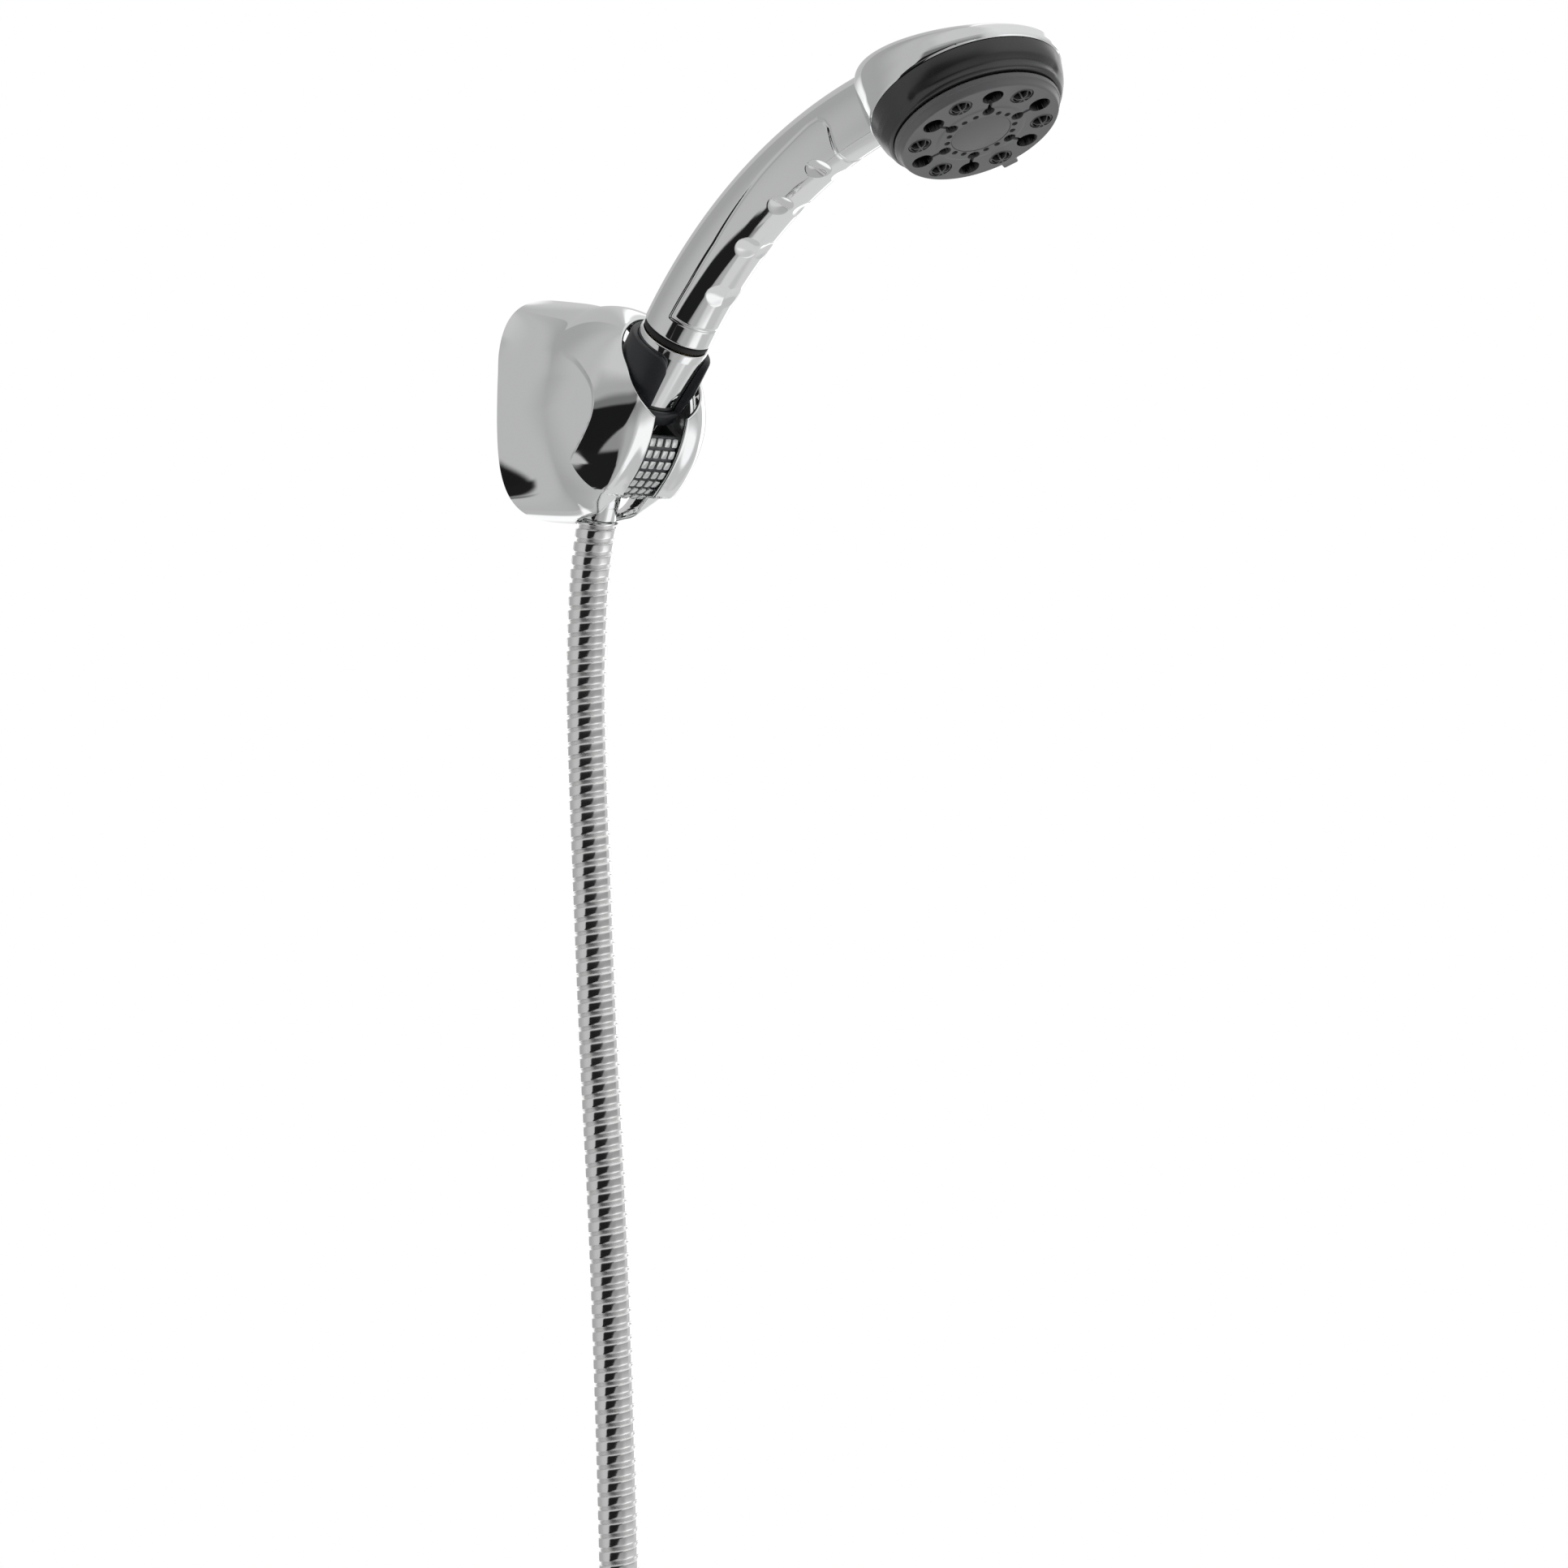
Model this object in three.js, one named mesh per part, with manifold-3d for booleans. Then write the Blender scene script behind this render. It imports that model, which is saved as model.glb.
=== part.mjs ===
// Handheld shower head in an adjustable wall bracket, with its metal hose.
// Units are millimetres and +Z is up. The wall is the plane y = 0 and the object reaches towards -Y.
// The origin is the middle of the bracket's back face, on the wall.

import * as THREE from 'three';
import { mergeVertices } from 'three/addons/utils/BufferGeometryUtils.js';
import Module from 'manifold-3d';

const wasm = await Module();
wasm.setup();

// ---------- driving dimensions ----------

const GAP = 0.35;

// Bracket cover: a rounded square at the wall that runs into a ball-shaped front.
const COVER = { wallHalfWidth: 32.7, wallHalfHeight: 38.2, halfWidth: 28.7, halfHeight: 37, neckDepth: 20 };
const COVER_FRONT = 37.5; // how far the ball reaches beyond the neck
const COVER_DROP = 2;
const COVER_WALL = 2.6;
const FRONT_RECESS = { most: 6, atMiddle: 2, perHeight: 0.148, inner: 6, outer: 17, top: 16 };
const SLOT_HALF_WIDTH = 6.9;
const HOSE_MOUTH = { halfWidth: 8, depth: 14.4, front: 26 };

// Tilting cradle: its pivot, and the axis of the hose nut that sits in it.
const PIVOT = { depth: 22, height: -3 };
const NUT_TILT = THREE.MathUtils.degToRad(38.9);
const NUT_OFFSET = 10.3;
const TILT_CLEARANCE_DEG = { back: 2.1, forward: 8.6 };
const DRUM = { radius: 29.4, inner: 25.8, halfWidth: 6.4, plateInner: 10.2, plateOuter: 12.8 };
const CLIP = { outer: 14.5, waist: 11.9, waistTop: 25, bottom: 12, top: 37 };
const CLIP_MOUTH = { bottom: 17, halfWidth: 7.5 };

// Conical hose nut, measured along its own axis from the level of the pivot.
const NUT = { top: 40, bottom: -5, topRadius: 12.2, bottomRadius: 8.6 };

// Handle: a tube on an arc that leaves the nut's axis tangentially.
const ARC_RADIUS = 180.6;
const ARC_START = 44.1;
const HANDLE = { bottom: -1.3, bottomRadius: 12.1, topRadius: 11.2, bore: 9.5, sweepDeg: 50 };

// Spray head, measured from the middle of the spray face back into the head.
const HEAD = { forward: 81.7, along: 126.9, turnDeg: -66.15 };
const HEAD_RADIUS = 31.9;
const BEZEL_TOP = 14;
const SHELL_BOTTOM = 14.35;
const SHELL_HEIGHT = 14.2;
const SHELL_SLOPE = 0.292;
const FACE_RADIUS = 26.9;
const NOZZLE_RING = 20.1;
const INNER_RING = 12.45;
const NOZZLE_COUNT = 6;

// Hose.
const HOSE_RADIUS = 7;
const COIL_RADIUS = 74;
const HOSE_SIDES = 10;

// ---------- materials ----------

function material(color, roughness, metalness) {
  return new THREE.MeshStandardMaterial({ color, roughness, metalness });
}

const chrome = () => material(0xd6d8da, 0.12, 1);
const steel = () => material(0xb4b7ba, 0.3, 1);
const brass = () => material(0xb89a55, 0.35, 1);
const blackPlastic = () => material(0x2b2d30, 0.45, 0);
const greyPlastic = () => material(0x5c5d60, 0.5, 0);
const whitePlastic = () => material(0xd9d8d2, 0.5, 0);
const rubber = () => material(0x141414, 0.8, 0);

// ---------- solids ----------

function signedVolume(geometry) {
  const position = geometry.attributes.position;
  const index = geometry.index.array;
  const [a, b, c] = [new THREE.Vector3(), new THREE.Vector3(), new THREE.Vector3()];
  let volume = 0;
  for (let i = 0; i < index.length; i += 3) {
    a.fromBufferAttribute(position, index[i]);
    b.fromBufferAttribute(position, index[i + 1]);
    c.fromBufferAttribute(position, index[i + 2]);
    volume += a.dot(b.cross(c)) / 6;
  }
  return volume;
}

// Merges shared vertices, drops triangles without area and turns the faces outwards.
function closed(source) {
  const bare = source.clone();
  bare.deleteAttribute('normal');
  bare.deleteAttribute('uv');
  const geometry = mergeVertices(bare, 1e-4);
  const index = geometry.index.array;
  const kept = [];
  for (let i = 0; i < index.length; i += 3) {
    const [a, b, c] = [index[i], index[i + 1], index[i + 2]];
    if (a !== b && b !== c && c !== a) {
      kept.push(a, b, c);
    }
  }
  geometry.setIndex(kept);
  if (signedVolume(geometry) < 0) {
    for (let i = 0; i < kept.length; i += 3) {
      [kept[i], kept[i + 1]] = [kept[i + 1], kept[i]];
    }
    geometry.setIndex(kept);
  }
  return geometry;
}

function toSolid(source) {
  const geometry = closed(source);
  return new wasm.Manifold(new wasm.Mesh({
    numProp: 3,
    vertProperties: new Float32Array(geometry.attributes.position.array),
    triVerts: new Uint32Array(geometry.index.array),
  }));
}

function toGeometry(solid) {
  const mesh = solid.getMesh();
  const geometry = new THREE.BufferGeometry();
  geometry.setAttribute('position', new THREE.BufferAttribute(mesh.vertProperties, 3));
  geometry.setIndex(new THREE.BufferAttribute(mesh.triVerts, 1));
  return geometry;
}

function join(first, ...others) {
  return toGeometry(others.reduce((solid, other) => solid.add(toSolid(other)), toSolid(first)));
}

function cut(body, ...tools) {
  return toGeometry(tools.reduce((solid, tool) => solid.subtract(toSolid(tool)), toSolid(body)));
}

function common(first, second) {
  return toGeometry(toSolid(first).intersect(toSolid(second)));
}

// ---------- shapes ----------

// A turned solid about Z. The profile is a list of [radius, height] that closes on itself.
function turned(profile, segments = 18) {
  const points = [...profile, profile[0]].map(([radius, height]) => new THREE.Vector2(radius, height));
  return closed(new THREE.LatheGeometry(points, segments).rotateX(Math.PI / 2));
}

function ring(outer, inner, bottom, top, segments = 18) {
  return turned([[inner, bottom], [outer, bottom], [outer, top], [inner, top]], segments);
}

function rod(radius, bottom, top, segments = 14) {
  const geometry = new THREE.CylinderGeometry(radius, radius, top - bottom, segments);
  return geometry.rotateX(Math.PI / 2).translate(0, 0, (top + bottom) / 2);
}

function cone(bottomRadius, topRadius, bottom, top, segments = 24) {
  const geometry = new THREE.CylinderGeometry(topRadius, bottomRadius, top - bottom, segments);
  return geometry.rotateX(Math.PI / 2).translate(0, 0, (top + bottom) / 2);
}

function block([x0, x1], [y0, y1], [z0, z1]) {
  const geometry = new THREE.BoxGeometry(x1 - x0, y1 - y0, z1 - z0);
  return geometry.translate((x0 + x1) / 2, (y0 + y1) / 2, (z0 + z1) / 2);
}

// A skin of rings. pointAt gets how far along it is (0 to 1), the angle round it, and 1 at the rim or 0
// in the middle of an end.
function lofted(pointAt, around, along) {
  const geometry = new THREE.CylinderGeometry(1, 1, 1, around, along);
  const position = geometry.attributes.position;
  for (let i = 0; i < position.count; i += 1) {
    const share = Math.round(Math.hypot(position.getX(i), position.getZ(i)));
    const angle = Math.atan2(position.getZ(i), position.getX(i));
    const point = pointAt(0.5 - position.getY(i), angle, share);
    position.setXYZ(i, point.x, point.y, point.z);
  }
  return closed(geometry);
}

// A plate whose outline is drawn looking along the X axis: first number towards the room, second up.
function sideways(shape, fromX, toX, curveSegments = 5) {
  const depth = toX - fromX;
  const geometry = new THREE.ExtrudeGeometry(shape, { depth, bevelEnabled: false, curveSegments });
  const axes = new THREE.Matrix4().makeBasis(
    new THREE.Vector3(0, -1, 0),
    new THREE.Vector3(0, 0, 1),
    new THREE.Vector3(-1, 0, 0),
  );
  return geometry.applyMatrix4(axes).translate(toX, 0, 0);
}

function coilSpring(radius, wire, bottom, top, turns) {
  class Helix extends THREE.Curve {
    getPoint(share, target = new THREE.Vector3()) {
      const angle = share * turns * 2 * Math.PI;
      const height = bottom + wire + share * (top - bottom - 2 * wire);
      return target.set(radius * Math.cos(angle), radius * Math.sin(angle), height);
    }
  }
  const section = new THREE.Shape().absarc(0, 0, wire, 0, 2 * Math.PI);
  return closed(new THREE.ExtrudeGeometry(section, {
    steps: turns * 7,
    curveSegments: 2,
    bevelEnabled: false,
    extrudePath: new Helix(),
  }));
}

// ---------- assembly helpers ----------

const shower = new THREE.Group();

function frameIn(parent, [x, y, z], turn = 0) {
  const group = new THREE.Group();
  group.position.set(x, y, z);
  group.rotation.x = turn;
  parent.add(group);
  return group;
}

function piece(parent, name, geometry, finish) {
  const mesh = new THREE.Mesh(closed(geometry), finish);
  mesh.name = name;
  parent.add(mesh);
  return mesh;
}

const cradle = frameIn(shower, [0, -PIVOT.depth, PIVOT.height]);
const nutFrame = frameIn(cradle, [0, 0, 0], NUT_TILT);
const handFrame = frameIn(nutFrame, [0, -NUT_OFFSET, 0]);
const handleFrame = frameIn(handFrame, [0, 0, ARC_START]);
const headTurn = THREE.MathUtils.degToRad(HEAD.turnDeg);
const headFrame = frameIn(handleFrame, [0, -HEAD.forward, HEAD.along], headTurn);

// The handle's middle line: an arc that bends towards the room as it climbs.
function handlePoint(turn) {
  return new THREE.Vector3(0, -ARC_RADIUS * (1 - Math.cos(turn)), ARC_RADIUS * Math.sin(turn));
}

// ---------- wall bracket ----------

// The cover's neck at a depth from the wall: half width, half height, middle and squareness.
function coverSection(depth) {
  const wallShare = Math.max(0, 1 - depth / COVER.neckDepth);
  return {
    halfWidth: COVER.halfWidth + (COVER.wallHalfWidth - COVER.halfWidth) * wallShare ** 2,
    halfHeight: COVER.halfHeight + (COVER.wallHalfHeight - COVER.halfHeight) * wallShare ** 2,
    middle: -COVER_DROP * (1 - wallShare ** 2),
    squareness: 2 / (2 + 1.4 * wallShare ** 1.5),
  };
}

function signedPower(value, power) {
  return Math.sign(value) * Math.abs(value) ** power;
}

// How far the ball's front is flattened on both sides of the slot, more so lower down.
function frontRecess(across, height, swing) {
  const { most, atMiddle, perHeight, inner, outer, top } = FRONT_RECESS;
  const amount = THREE.MathUtils.clamp(atMiddle - perHeight * height, 0, most);
  const beside = 1 - THREE.MathUtils.smoothstep(Math.abs(across), inner, outer);
  const below = 1 - THREE.MathUtils.smoothstep(height, 0, top);
  return amount * beside * below * THREE.MathUtils.smoothstep(Math.sin(swing), 0, 0.5);
}

// The outer skin of the cover, drawn in by the thickness asked for.
function coverSkin(inset, startDepth) {
  const front = COVER_FRONT - inset;
  const neckShare = 0.3;
  return lofted((share, angle, rim) => {
    const swing = (Math.PI / 2) * Math.max(0, (share - neckShare) / (1 - neckShare));
    const neck = Math.min(1, share / neckShare);
    const depth = startDepth + (COVER.neckDepth - startDepth) * neck + front * Math.sin(swing);
    const section = coverSection(Math.min(depth, COVER.neckDepth));
    const shrink = rim * Math.cos(swing);
    const across = (section.halfWidth - inset) * signedPower(Math.cos(angle), section.squareness);
    const up = (section.halfHeight - inset) * signedPower(Math.sin(angle), section.squareness);
    const height = section.middle + up * shrink;
    const recess = frontRecess(across * shrink, height, swing);
    return new THREE.Vector3(across * shrink, recess - depth, height);
  }, 32, 14);
}

// The room that the clip and nut sweep as the cradle tilts.
function cradleSweep() {
  const tools = [];
  const steps = 2;
  for (let step = 0; step <= steps; step += 1) {
    const { back, forward } = TILT_CLEARANCE_DEG;
    const turn = THREE.MathUtils.degToRad(((back + forward) * step) / steps - back);
    const upper = rod(CLIP.outer + 0.7, CLIP.waistTop, 60, 22);
    const waist = cone(CLIP.waist + 0.5, CLIP.outer + 0.7, CLIP.bottom - 1, CLIP.waistTop + 0.01, 22);
    for (const tool of [upper, waist]) {
      tool.translate(0, -NUT_OFFSET, 0).rotateX(NUT_TILT + turn);
      tools.push(tool.translate(0, -PIVOT.depth, PIVOT.height));
    }
  }
  return tools;
}

function alongX(radius, fromX, toX, segments = 12) {
  return rod(radius, fromX, toX, segments).rotateY(Math.PI / 2).translate(0, -PIVOT.depth, PIVOT.height);
}

const WALL_SCREWS = [20, -20];
const SET_SCREW = { x: -12, depth: 6.2, hole: 2.4 };

function bracketCover() {
  const hollow = cut(coverSkin(0, 0), coverSkin(COVER_WALL, -1));
  const outside = coverSkin(0.4, 0);
  const bosses = [-1, 1].map((side) => {
    const span = side < 0 ? [-40, -14.6] : [14.6, 40];
    return common(alongX(6.5, span[0], span[1]), outside);
  });
  const bored = cut(
    join(hollow, ...bosses),
    alongX(2.5 + GAP, -24, 24),
    rod(SET_SCREW.hole, -50, -20, 10).translate(SET_SCREW.x, -SET_SCREW.depth, 0),
  );
  const slot = block([-SLOT_HALF_WIDTH, SLOT_HALF_WIDTH], [-70, -HOSE_MOUTH.depth], [-50, 8]);
  const { halfWidth, depth, front } = HOSE_MOUTH;
  const mouthSides = block([-halfWidth, halfWidth], [-front, -depth], [-50, -20]);
  const mouthEnd = rod(halfWidth, -50, -20, 16).translate(0, -depth, 0);
  return cut(bored, slot, mouthSides, mouthEnd, ...cradleSweep());
}

function mountingPlate() {
  const rounded = new THREE.Shape();
  const [halfWidth, halfHeight, corner] = [24, 28.5, 9];
  rounded.absarc(halfWidth - corner, halfHeight - corner, corner, 0, Math.PI / 2);
  rounded.absarc(-halfWidth + corner, halfHeight - corner, corner, Math.PI / 2, Math.PI);
  rounded.absarc(-halfWidth + corner, -halfHeight + corner, corner, Math.PI, 1.5 * Math.PI);
  rounded.absarc(halfWidth - corner, -halfHeight + corner, corner, 1.5 * Math.PI, 2 * Math.PI);
  for (const height of WALL_SCREWS) {
    rounded.holes.push(new THREE.Path().absarc(0, height, 2.5, 0, 2 * Math.PI, true));
  }
  const plate = new THREE.ExtrudeGeometry(rounded, { depth: 2.5, bevelEnabled: false, curveSegments: 4 });
  plate.rotateX(Math.PI / 2);
  const lug = block([SET_SCREW.x - 5, SET_SCREW.x + 5], [-10, -2], [-28.4, -25.4]);
  return join(plate, lug);
}

function wallScrew(height) {
  const profile = [
    [0, 24], [1.2, 20], [1.9, 17], [1.9, -2.5 - GAP], [4.2, -2.5 - GAP], [3.6, -4.6], [1.4, -5.2],
    [1.4, -3.6], [0, -3.6],
  ];
  return turned(profile, 12).rotateX(-Math.PI / 2).translate(0, 0, height);
}

piece(shower, 'bracket_cover', bracketCover(), chrome());
piece(shower, 'mounting_plate', mountingPlate(), steel());
piece(shower, 'wall_screw_upper', wallScrew(WALL_SCREWS[0]), steel());
piece(shower, 'wall_screw_lower', wallScrew(WALL_SCREWS[1]), steel());
const setScrew = rod(1.9, -35.6, -28.8, 16).translate(SET_SCREW.x, -SET_SCREW.depth, 0);
piece(shower, 'cover_set_screw', setScrew, steel());
for (const [name, side] of [['left', -1], ['right', 1]]) {
  const pin = alongX(2.5, side < 0 ? -22 : 10.4, side < 0 ? -10.4 : 22);
  piece(shower, `pivot_pin_${name}`, pin, steel());
  const washer = ring(6, 3, 13.5, 14.3, 14).rotateY((side * Math.PI) / 2);
  piece(shower, `friction_washer_${name}`, washer.translate(0, -PIVOT.depth, PIVOT.height), whitePlastic());
}

// ---------- cradle ----------

function polar(radius, degrees) {
  const angle = THREE.MathUtils.degToRad(degrees);
  return [radius * Math.cos(angle), radius * Math.sin(angle)];
}

// Angles round the pivot, from straight out to the room, up being positive.
function cradleDrum() {
  const [low, high] = [-74, -17].map(THREE.MathUtils.degToRad);
  const band = new THREE.Shape();
  band.absarc(0, 0, DRUM.radius, low, high);
  band.absarc(0, 0, DRUM.inner - 0.5, high, low, true);
  const parts = [sideways(band, -DRUM.halfWidth, DRUM.halfWidth, 6)];
  for (const side of [-1, 1]) {
    const cheek = new THREE.Shape();
    cheek.moveTo(...polar(DRUM.inner, -70));
    cheek.absarc(0, 0, DRUM.inner, THREE.MathUtils.degToRad(-70), THREE.MathUtils.degToRad(-22));
    cheek.lineTo(...polar(8, 50));
    cheek.absarc(0, 0, 8, THREE.MathUtils.degToRad(50), THREE.MathUtils.degToRad(215));
    cheek.holes.push(new THREE.Path().absarc(0, 0, 2.5 + GAP, 0, 2 * Math.PI, true));
    const span = side < 0 ? [-DRUM.plateOuter, -DRUM.plateInner] : [DRUM.plateInner, DRUM.plateOuter];
    parts.push(sideways(cheek, span[0], span[1], 4));
    const web = new THREE.Shape();
    const [webLow, webHigh] = [-68, -25].map(THREE.MathUtils.degToRad);
    web.absarc(0, 0, DRUM.inner - 0.2, webLow, webHigh);
    web.absarc(0, 0, DRUM.inner - 2.5, webHigh, webLow, true);
    const reach = side < 0 ? [-DRUM.plateOuter + 0.5, -6.2] : [6.2, DRUM.plateOuter - 0.5];
    parts.push(sideways(web, reach[0], reach[1], 4));
  }
  return join(...parts);
}

function nutRadius(height) {
  const share = (height - NUT.bottom) / (NUT.top - NUT.bottom);
  return NUT.bottomRadius + (NUT.topRadius - NUT.bottomRadius) * share;
}

function cradleClip() {
  const body = turned([
    [8, CLIP.bottom], [CLIP.waist, CLIP.bottom], [CLIP.outer, CLIP.waistTop], [CLIP.outer, CLIP.top],
    [8, CLIP.top],
  ], 28);
  const [low, high] = [CLIP.bottom - 2, CLIP.top + 2];
  const seat = cone(nutRadius(low) + GAP, nutRadius(high) + GAP, low, high, 28);
  const mouth = block([-CLIP_MOUTH.halfWidth, CLIP_MOUTH.halfWidth], [-30, -2], [CLIP_MOUTH.bottom, 50]);
  return cut(body, seat, mouth);
}

piece(cradle, 'cradle_drum', cradleDrum(), greyPlastic());
piece(handFrame, 'cradle_clip', cradleClip(), blackPlastic());

// ---------- hose nut and inlet ----------

const FLANGE = { bottom: 21, top: 23.4 };
const WASHER_TOP = 25.8;
const NIPPLE = { bottom: 26.2, shoulder: 40.2, top: 60, threadRadius: 10.2, neckRadius: 8.6, bore: 6.2 };

function hoseNut() {
  return turned([
    [7, NUT.bottom], [NUT.bottomRadius, NUT.bottom], [NUT.topRadius, NUT.top - 3], [NUT.topRadius, NUT.top],
    [10.6, NUT.top], [10.6, FLANGE.bottom - GAP], [7, FLANGE.bottom - GAP],
  ], 26);
}

function hoseEndFitting() {
  return turned([
    [4, -4.6], [6.6, -4.6], [6.6, FLANGE.bottom], [9.9, FLANGE.bottom], [9.9, FLANGE.top], [4, FLANGE.top],
  ]);
}

function inletConnector() {
  const { bottom, shoulder, top, threadRadius, neckRadius, bore } = NIPPLE;
  return turned([
    [bore, bottom], [threadRadius, bottom], [threadRadius, shoulder], [neckRadius, shoulder],
    [neckRadius, top], [bore, top],
  ]);
}

piece(handFrame, 'hose_nut', hoseNut(), chrome());
piece(handFrame, 'hose_end_fitting', hoseEndFitting(), brass());
piece(handFrame, 'hose_washer', ring(9.9, 5, FLANGE.top + GAP, WASHER_TOP), rubber());
piece(handFrame, 'inlet_connector', inletConnector(), brass());
piece(handFrame, 'gasket_ring', ring(11.6, NIPPLE.neckRadius + GAP, NUT.top + GAP, 42.45, 24), rubber());
piece(handFrame, 'check_valve_body', turned([
  [2.6, 28], [5.85, 28], [5.85, 44], [4.6, 44], [4.6, 29.6], [2.6, 29.6],
], 14), whitePlastic());
piece(handFrame, 'check_valve_poppet', turned([
  [0, 29.95], [3.9, 29.95], [3.9, 31.2], [1.1, 32.2], [1.1, 39], [0, 39],
], 12), blackPlastic());
piece(handFrame, 'check_valve_spring', coilSpring(3, 0.4, 34.4, 42, 4), steel());
piece(handFrame, 'flow_restrictor', ring(5.85, 1.4, 44.4, 46.6, 14), greyPlastic());

// ---------- handle and head shell ----------

const HANDLE_SWEEP = THREE.MathUtils.degToRad(HANDLE.sweepDeg);

function handleTube(bottomRadius, topRadius, startHeight, sweep) {
  return lofted((share, angle, rim) => {
    const start = startHeight / ARC_RADIUS;
    const turn = start + (sweep - start) * share;
    const radius = rim * (bottomRadius + (topRadius - bottomRadius) * share);
    const middle = handlePoint(turn);
    const across = radius * Math.cos(angle);
    const out = radius * Math.sin(angle);
    return new THREE.Vector3(
      across,
      middle.y + out * Math.cos(turn),
      middle.z + out * Math.sin(turn),
    );
  }, 20, 11);
}

// The head's back: a round wall whose top leans, higher where the handle comes in, under a low crown.
const SHELL_PROFILE = [
  [0.985, 0], [1, 0.25], [1, 0.55], [0.985, 0.78], [0.93, 0.95], [0.8, 1.08], [0.6, 1.17], [0.35, 1.22],
  [0, 1.24],
];

function shellDome(inset, bottom) {
  const last = SHELL_PROFILE.length - 1;
  return lofted((share, angle, rim) => {
    const [radial, climb] = SHELL_PROFILE[Math.round(share * last)];
    const radius = rim * radial * (HEAD_RADIUS - inset);
    const y = radius * Math.sin(angle);
    const rise = climb * (SHELL_HEIGHT - inset * 0.6 + SHELL_SLOPE * y);
    const height = climb === 0 ? bottom : SHELL_BOTTOM + rise - inset * 0.4;
    return new THREE.Vector3(radius * Math.cos(angle), y, height);
  }, 30, last);
}

function inHandle(geometry) {
  return geometry.rotateX(headTurn).translate(0, -HEAD.forward, HEAD.along);
}

const PANEL = { from: 0.09, to: 0.6, half: 0.95, depth: 1.7 };

// The finger grip: a strip let into the handle's front, following the arc.
function gripStrip(slack) {
  const inner = HANDLE.bottomRadius - PANEL.depth - slack;
  const outer = HANDLE.bottomRadius + (slack > 0 ? 3 : 0);
  const half = PANEL.half + slack / 12;
  const [from, to] = [PANEL.from - slack / ARC_RADIUS, PANEL.to + slack / ARC_RADIUS];
  return lofted((share, angle, rim) => {
    const turn = from + (to - from) * share;
    const taper = (HANDLE.topRadius - HANDLE.bottomRadius) * (turn / HANDLE_SWEEP);
    const spread = half * Math.cos(angle) * (rim ? 1 : 0);
    const isOuter = Math.sin(angle) > 0;
    const middleRadius = (inner + outer) / 2;
    const radius = taper + (rim ? (isOuter ? outer : inner) : middleRadius);
    const middle = handlePoint(turn);
    const out = -radius * Math.cos(spread);
    return new THREE.Vector3(
      radius * Math.sin(spread),
      middle.y + out * Math.cos(turn),
      middle.z + out * Math.sin(turn),
    );
  }, 14, 9);
}

function handsetBody() {
  const outside = join(
    handleTube(HANDLE.bottomRadius, HANDLE.topRadius, HANDLE.bottom, HANDLE_SWEEP),
    inHandle(shellDome(0, SHELL_BOTTOM)),
  );
  return cut(
    outside,
    inHandle(rod(45, -20, SHELL_BOTTOM, 32)),
    handleTube(HANDLE.bore, HANDLE.bore - 0.6, HANDLE.bottom - 2, HANDLE_SWEEP - 0.03),
    inHandle(shellDome(2.3, SHELL_BOTTOM - 2)),
    gripStrip(GAP),
  );
}

function waterTube() {
  const path = new THREE.CatmullRomCurve3([0.1, 0.2, 0.3, 0.4, 0.5, 0.585].map(handlePoint));
  const section = new THREE.Shape().absarc(0, 0, 6, 0, 2 * Math.PI);
  section.holes.push(new THREE.Path().absarc(0, 0, 4.6, 0, 2 * Math.PI, true));
  return new THREE.ExtrudeGeometry(section, {
    steps: 7,
    curveSegments: 5,
    bevelEnabled: false,
    extrudePath: path,
  });
}

piece(handleFrame, 'handset_body', handsetBody(), chrome());
piece(handleFrame, 'grip_panel', gripStrip(0), chrome());
piece(handleFrame, 'water_tube', waterTube(), whitePlastic());

// ---------- spray head ----------

const DETENT = { ring: 16, plungerBottom: 4.35, plungerTop: 8, springTop: 13.5 };

function atAngle(geometry, radius, degrees) {
  const [x, y] = polar(radius, degrees);
  return geometry.translate(x, y, 0);
}

function bezelRing() {
  return turned([
    [26, 4.5], [27.5, 4.5], [28.7, 5.2], [29.1, 6.6], [28.8, 7.7], [29.9, 8.7], [30.7, 10], [30.5, 11.3],
    [30.9, 12.4], [31.2, BEZEL_TOP], [28.8, BEZEL_TOP], [28.8, 16.5], [26, 16.5],
  ], 28);
}

function engineHousing() {
  const cup = turned([
    [0, 9.4], [25.6, 9.4], [25.6, 15.6], [21, 17], [18, 19.2], [0, 19.2],
  ], 22);
  const chamber = rod(12.4, 9, 15.2, 20);
  const feed = rod(4.2, 12, 30, 12).translate(0, 7, 0);
  const bore = rod(2.1, 5, 25, 10);
  const pocket = atAngle(rod(1.8, 9, 14, 10), DETENT.ring, 0);
  return cut(cup, chamber, feed, bore, pocket);
}

function diverterDisc() {
  const disc = ring(23.8, 2.4, 5.2, 9, 22);
  const ports = [];
  for (let port = 0; port < 3; port += 1) {
    ports.push(atAngle(rod(2.6, 4, 10, 10), 9, 120 * port + 60));
  }
  return cut(disc, ...ports, atAngle(rod(1.8, 4, 10, 10), DETENT.ring, 0));
}

function massageTurbine() {
  const parts = [ring(9.6, 2.4, 10, 11.2, 16), ring(4, 2.4, 10, 14.4, 12)];
  for (let blade = 0; blade < 6; blade += 1) {
    const vane = block([3, 10.8], [-0.6, 0.6], [10, 14.2]);
    parts.push(vane.rotateZ((blade * Math.PI) / 3));
  }
  return join(...parts);
}

const TAB = { degrees: 28, halfWidth: 2.6, reach: 29.6 };

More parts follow.
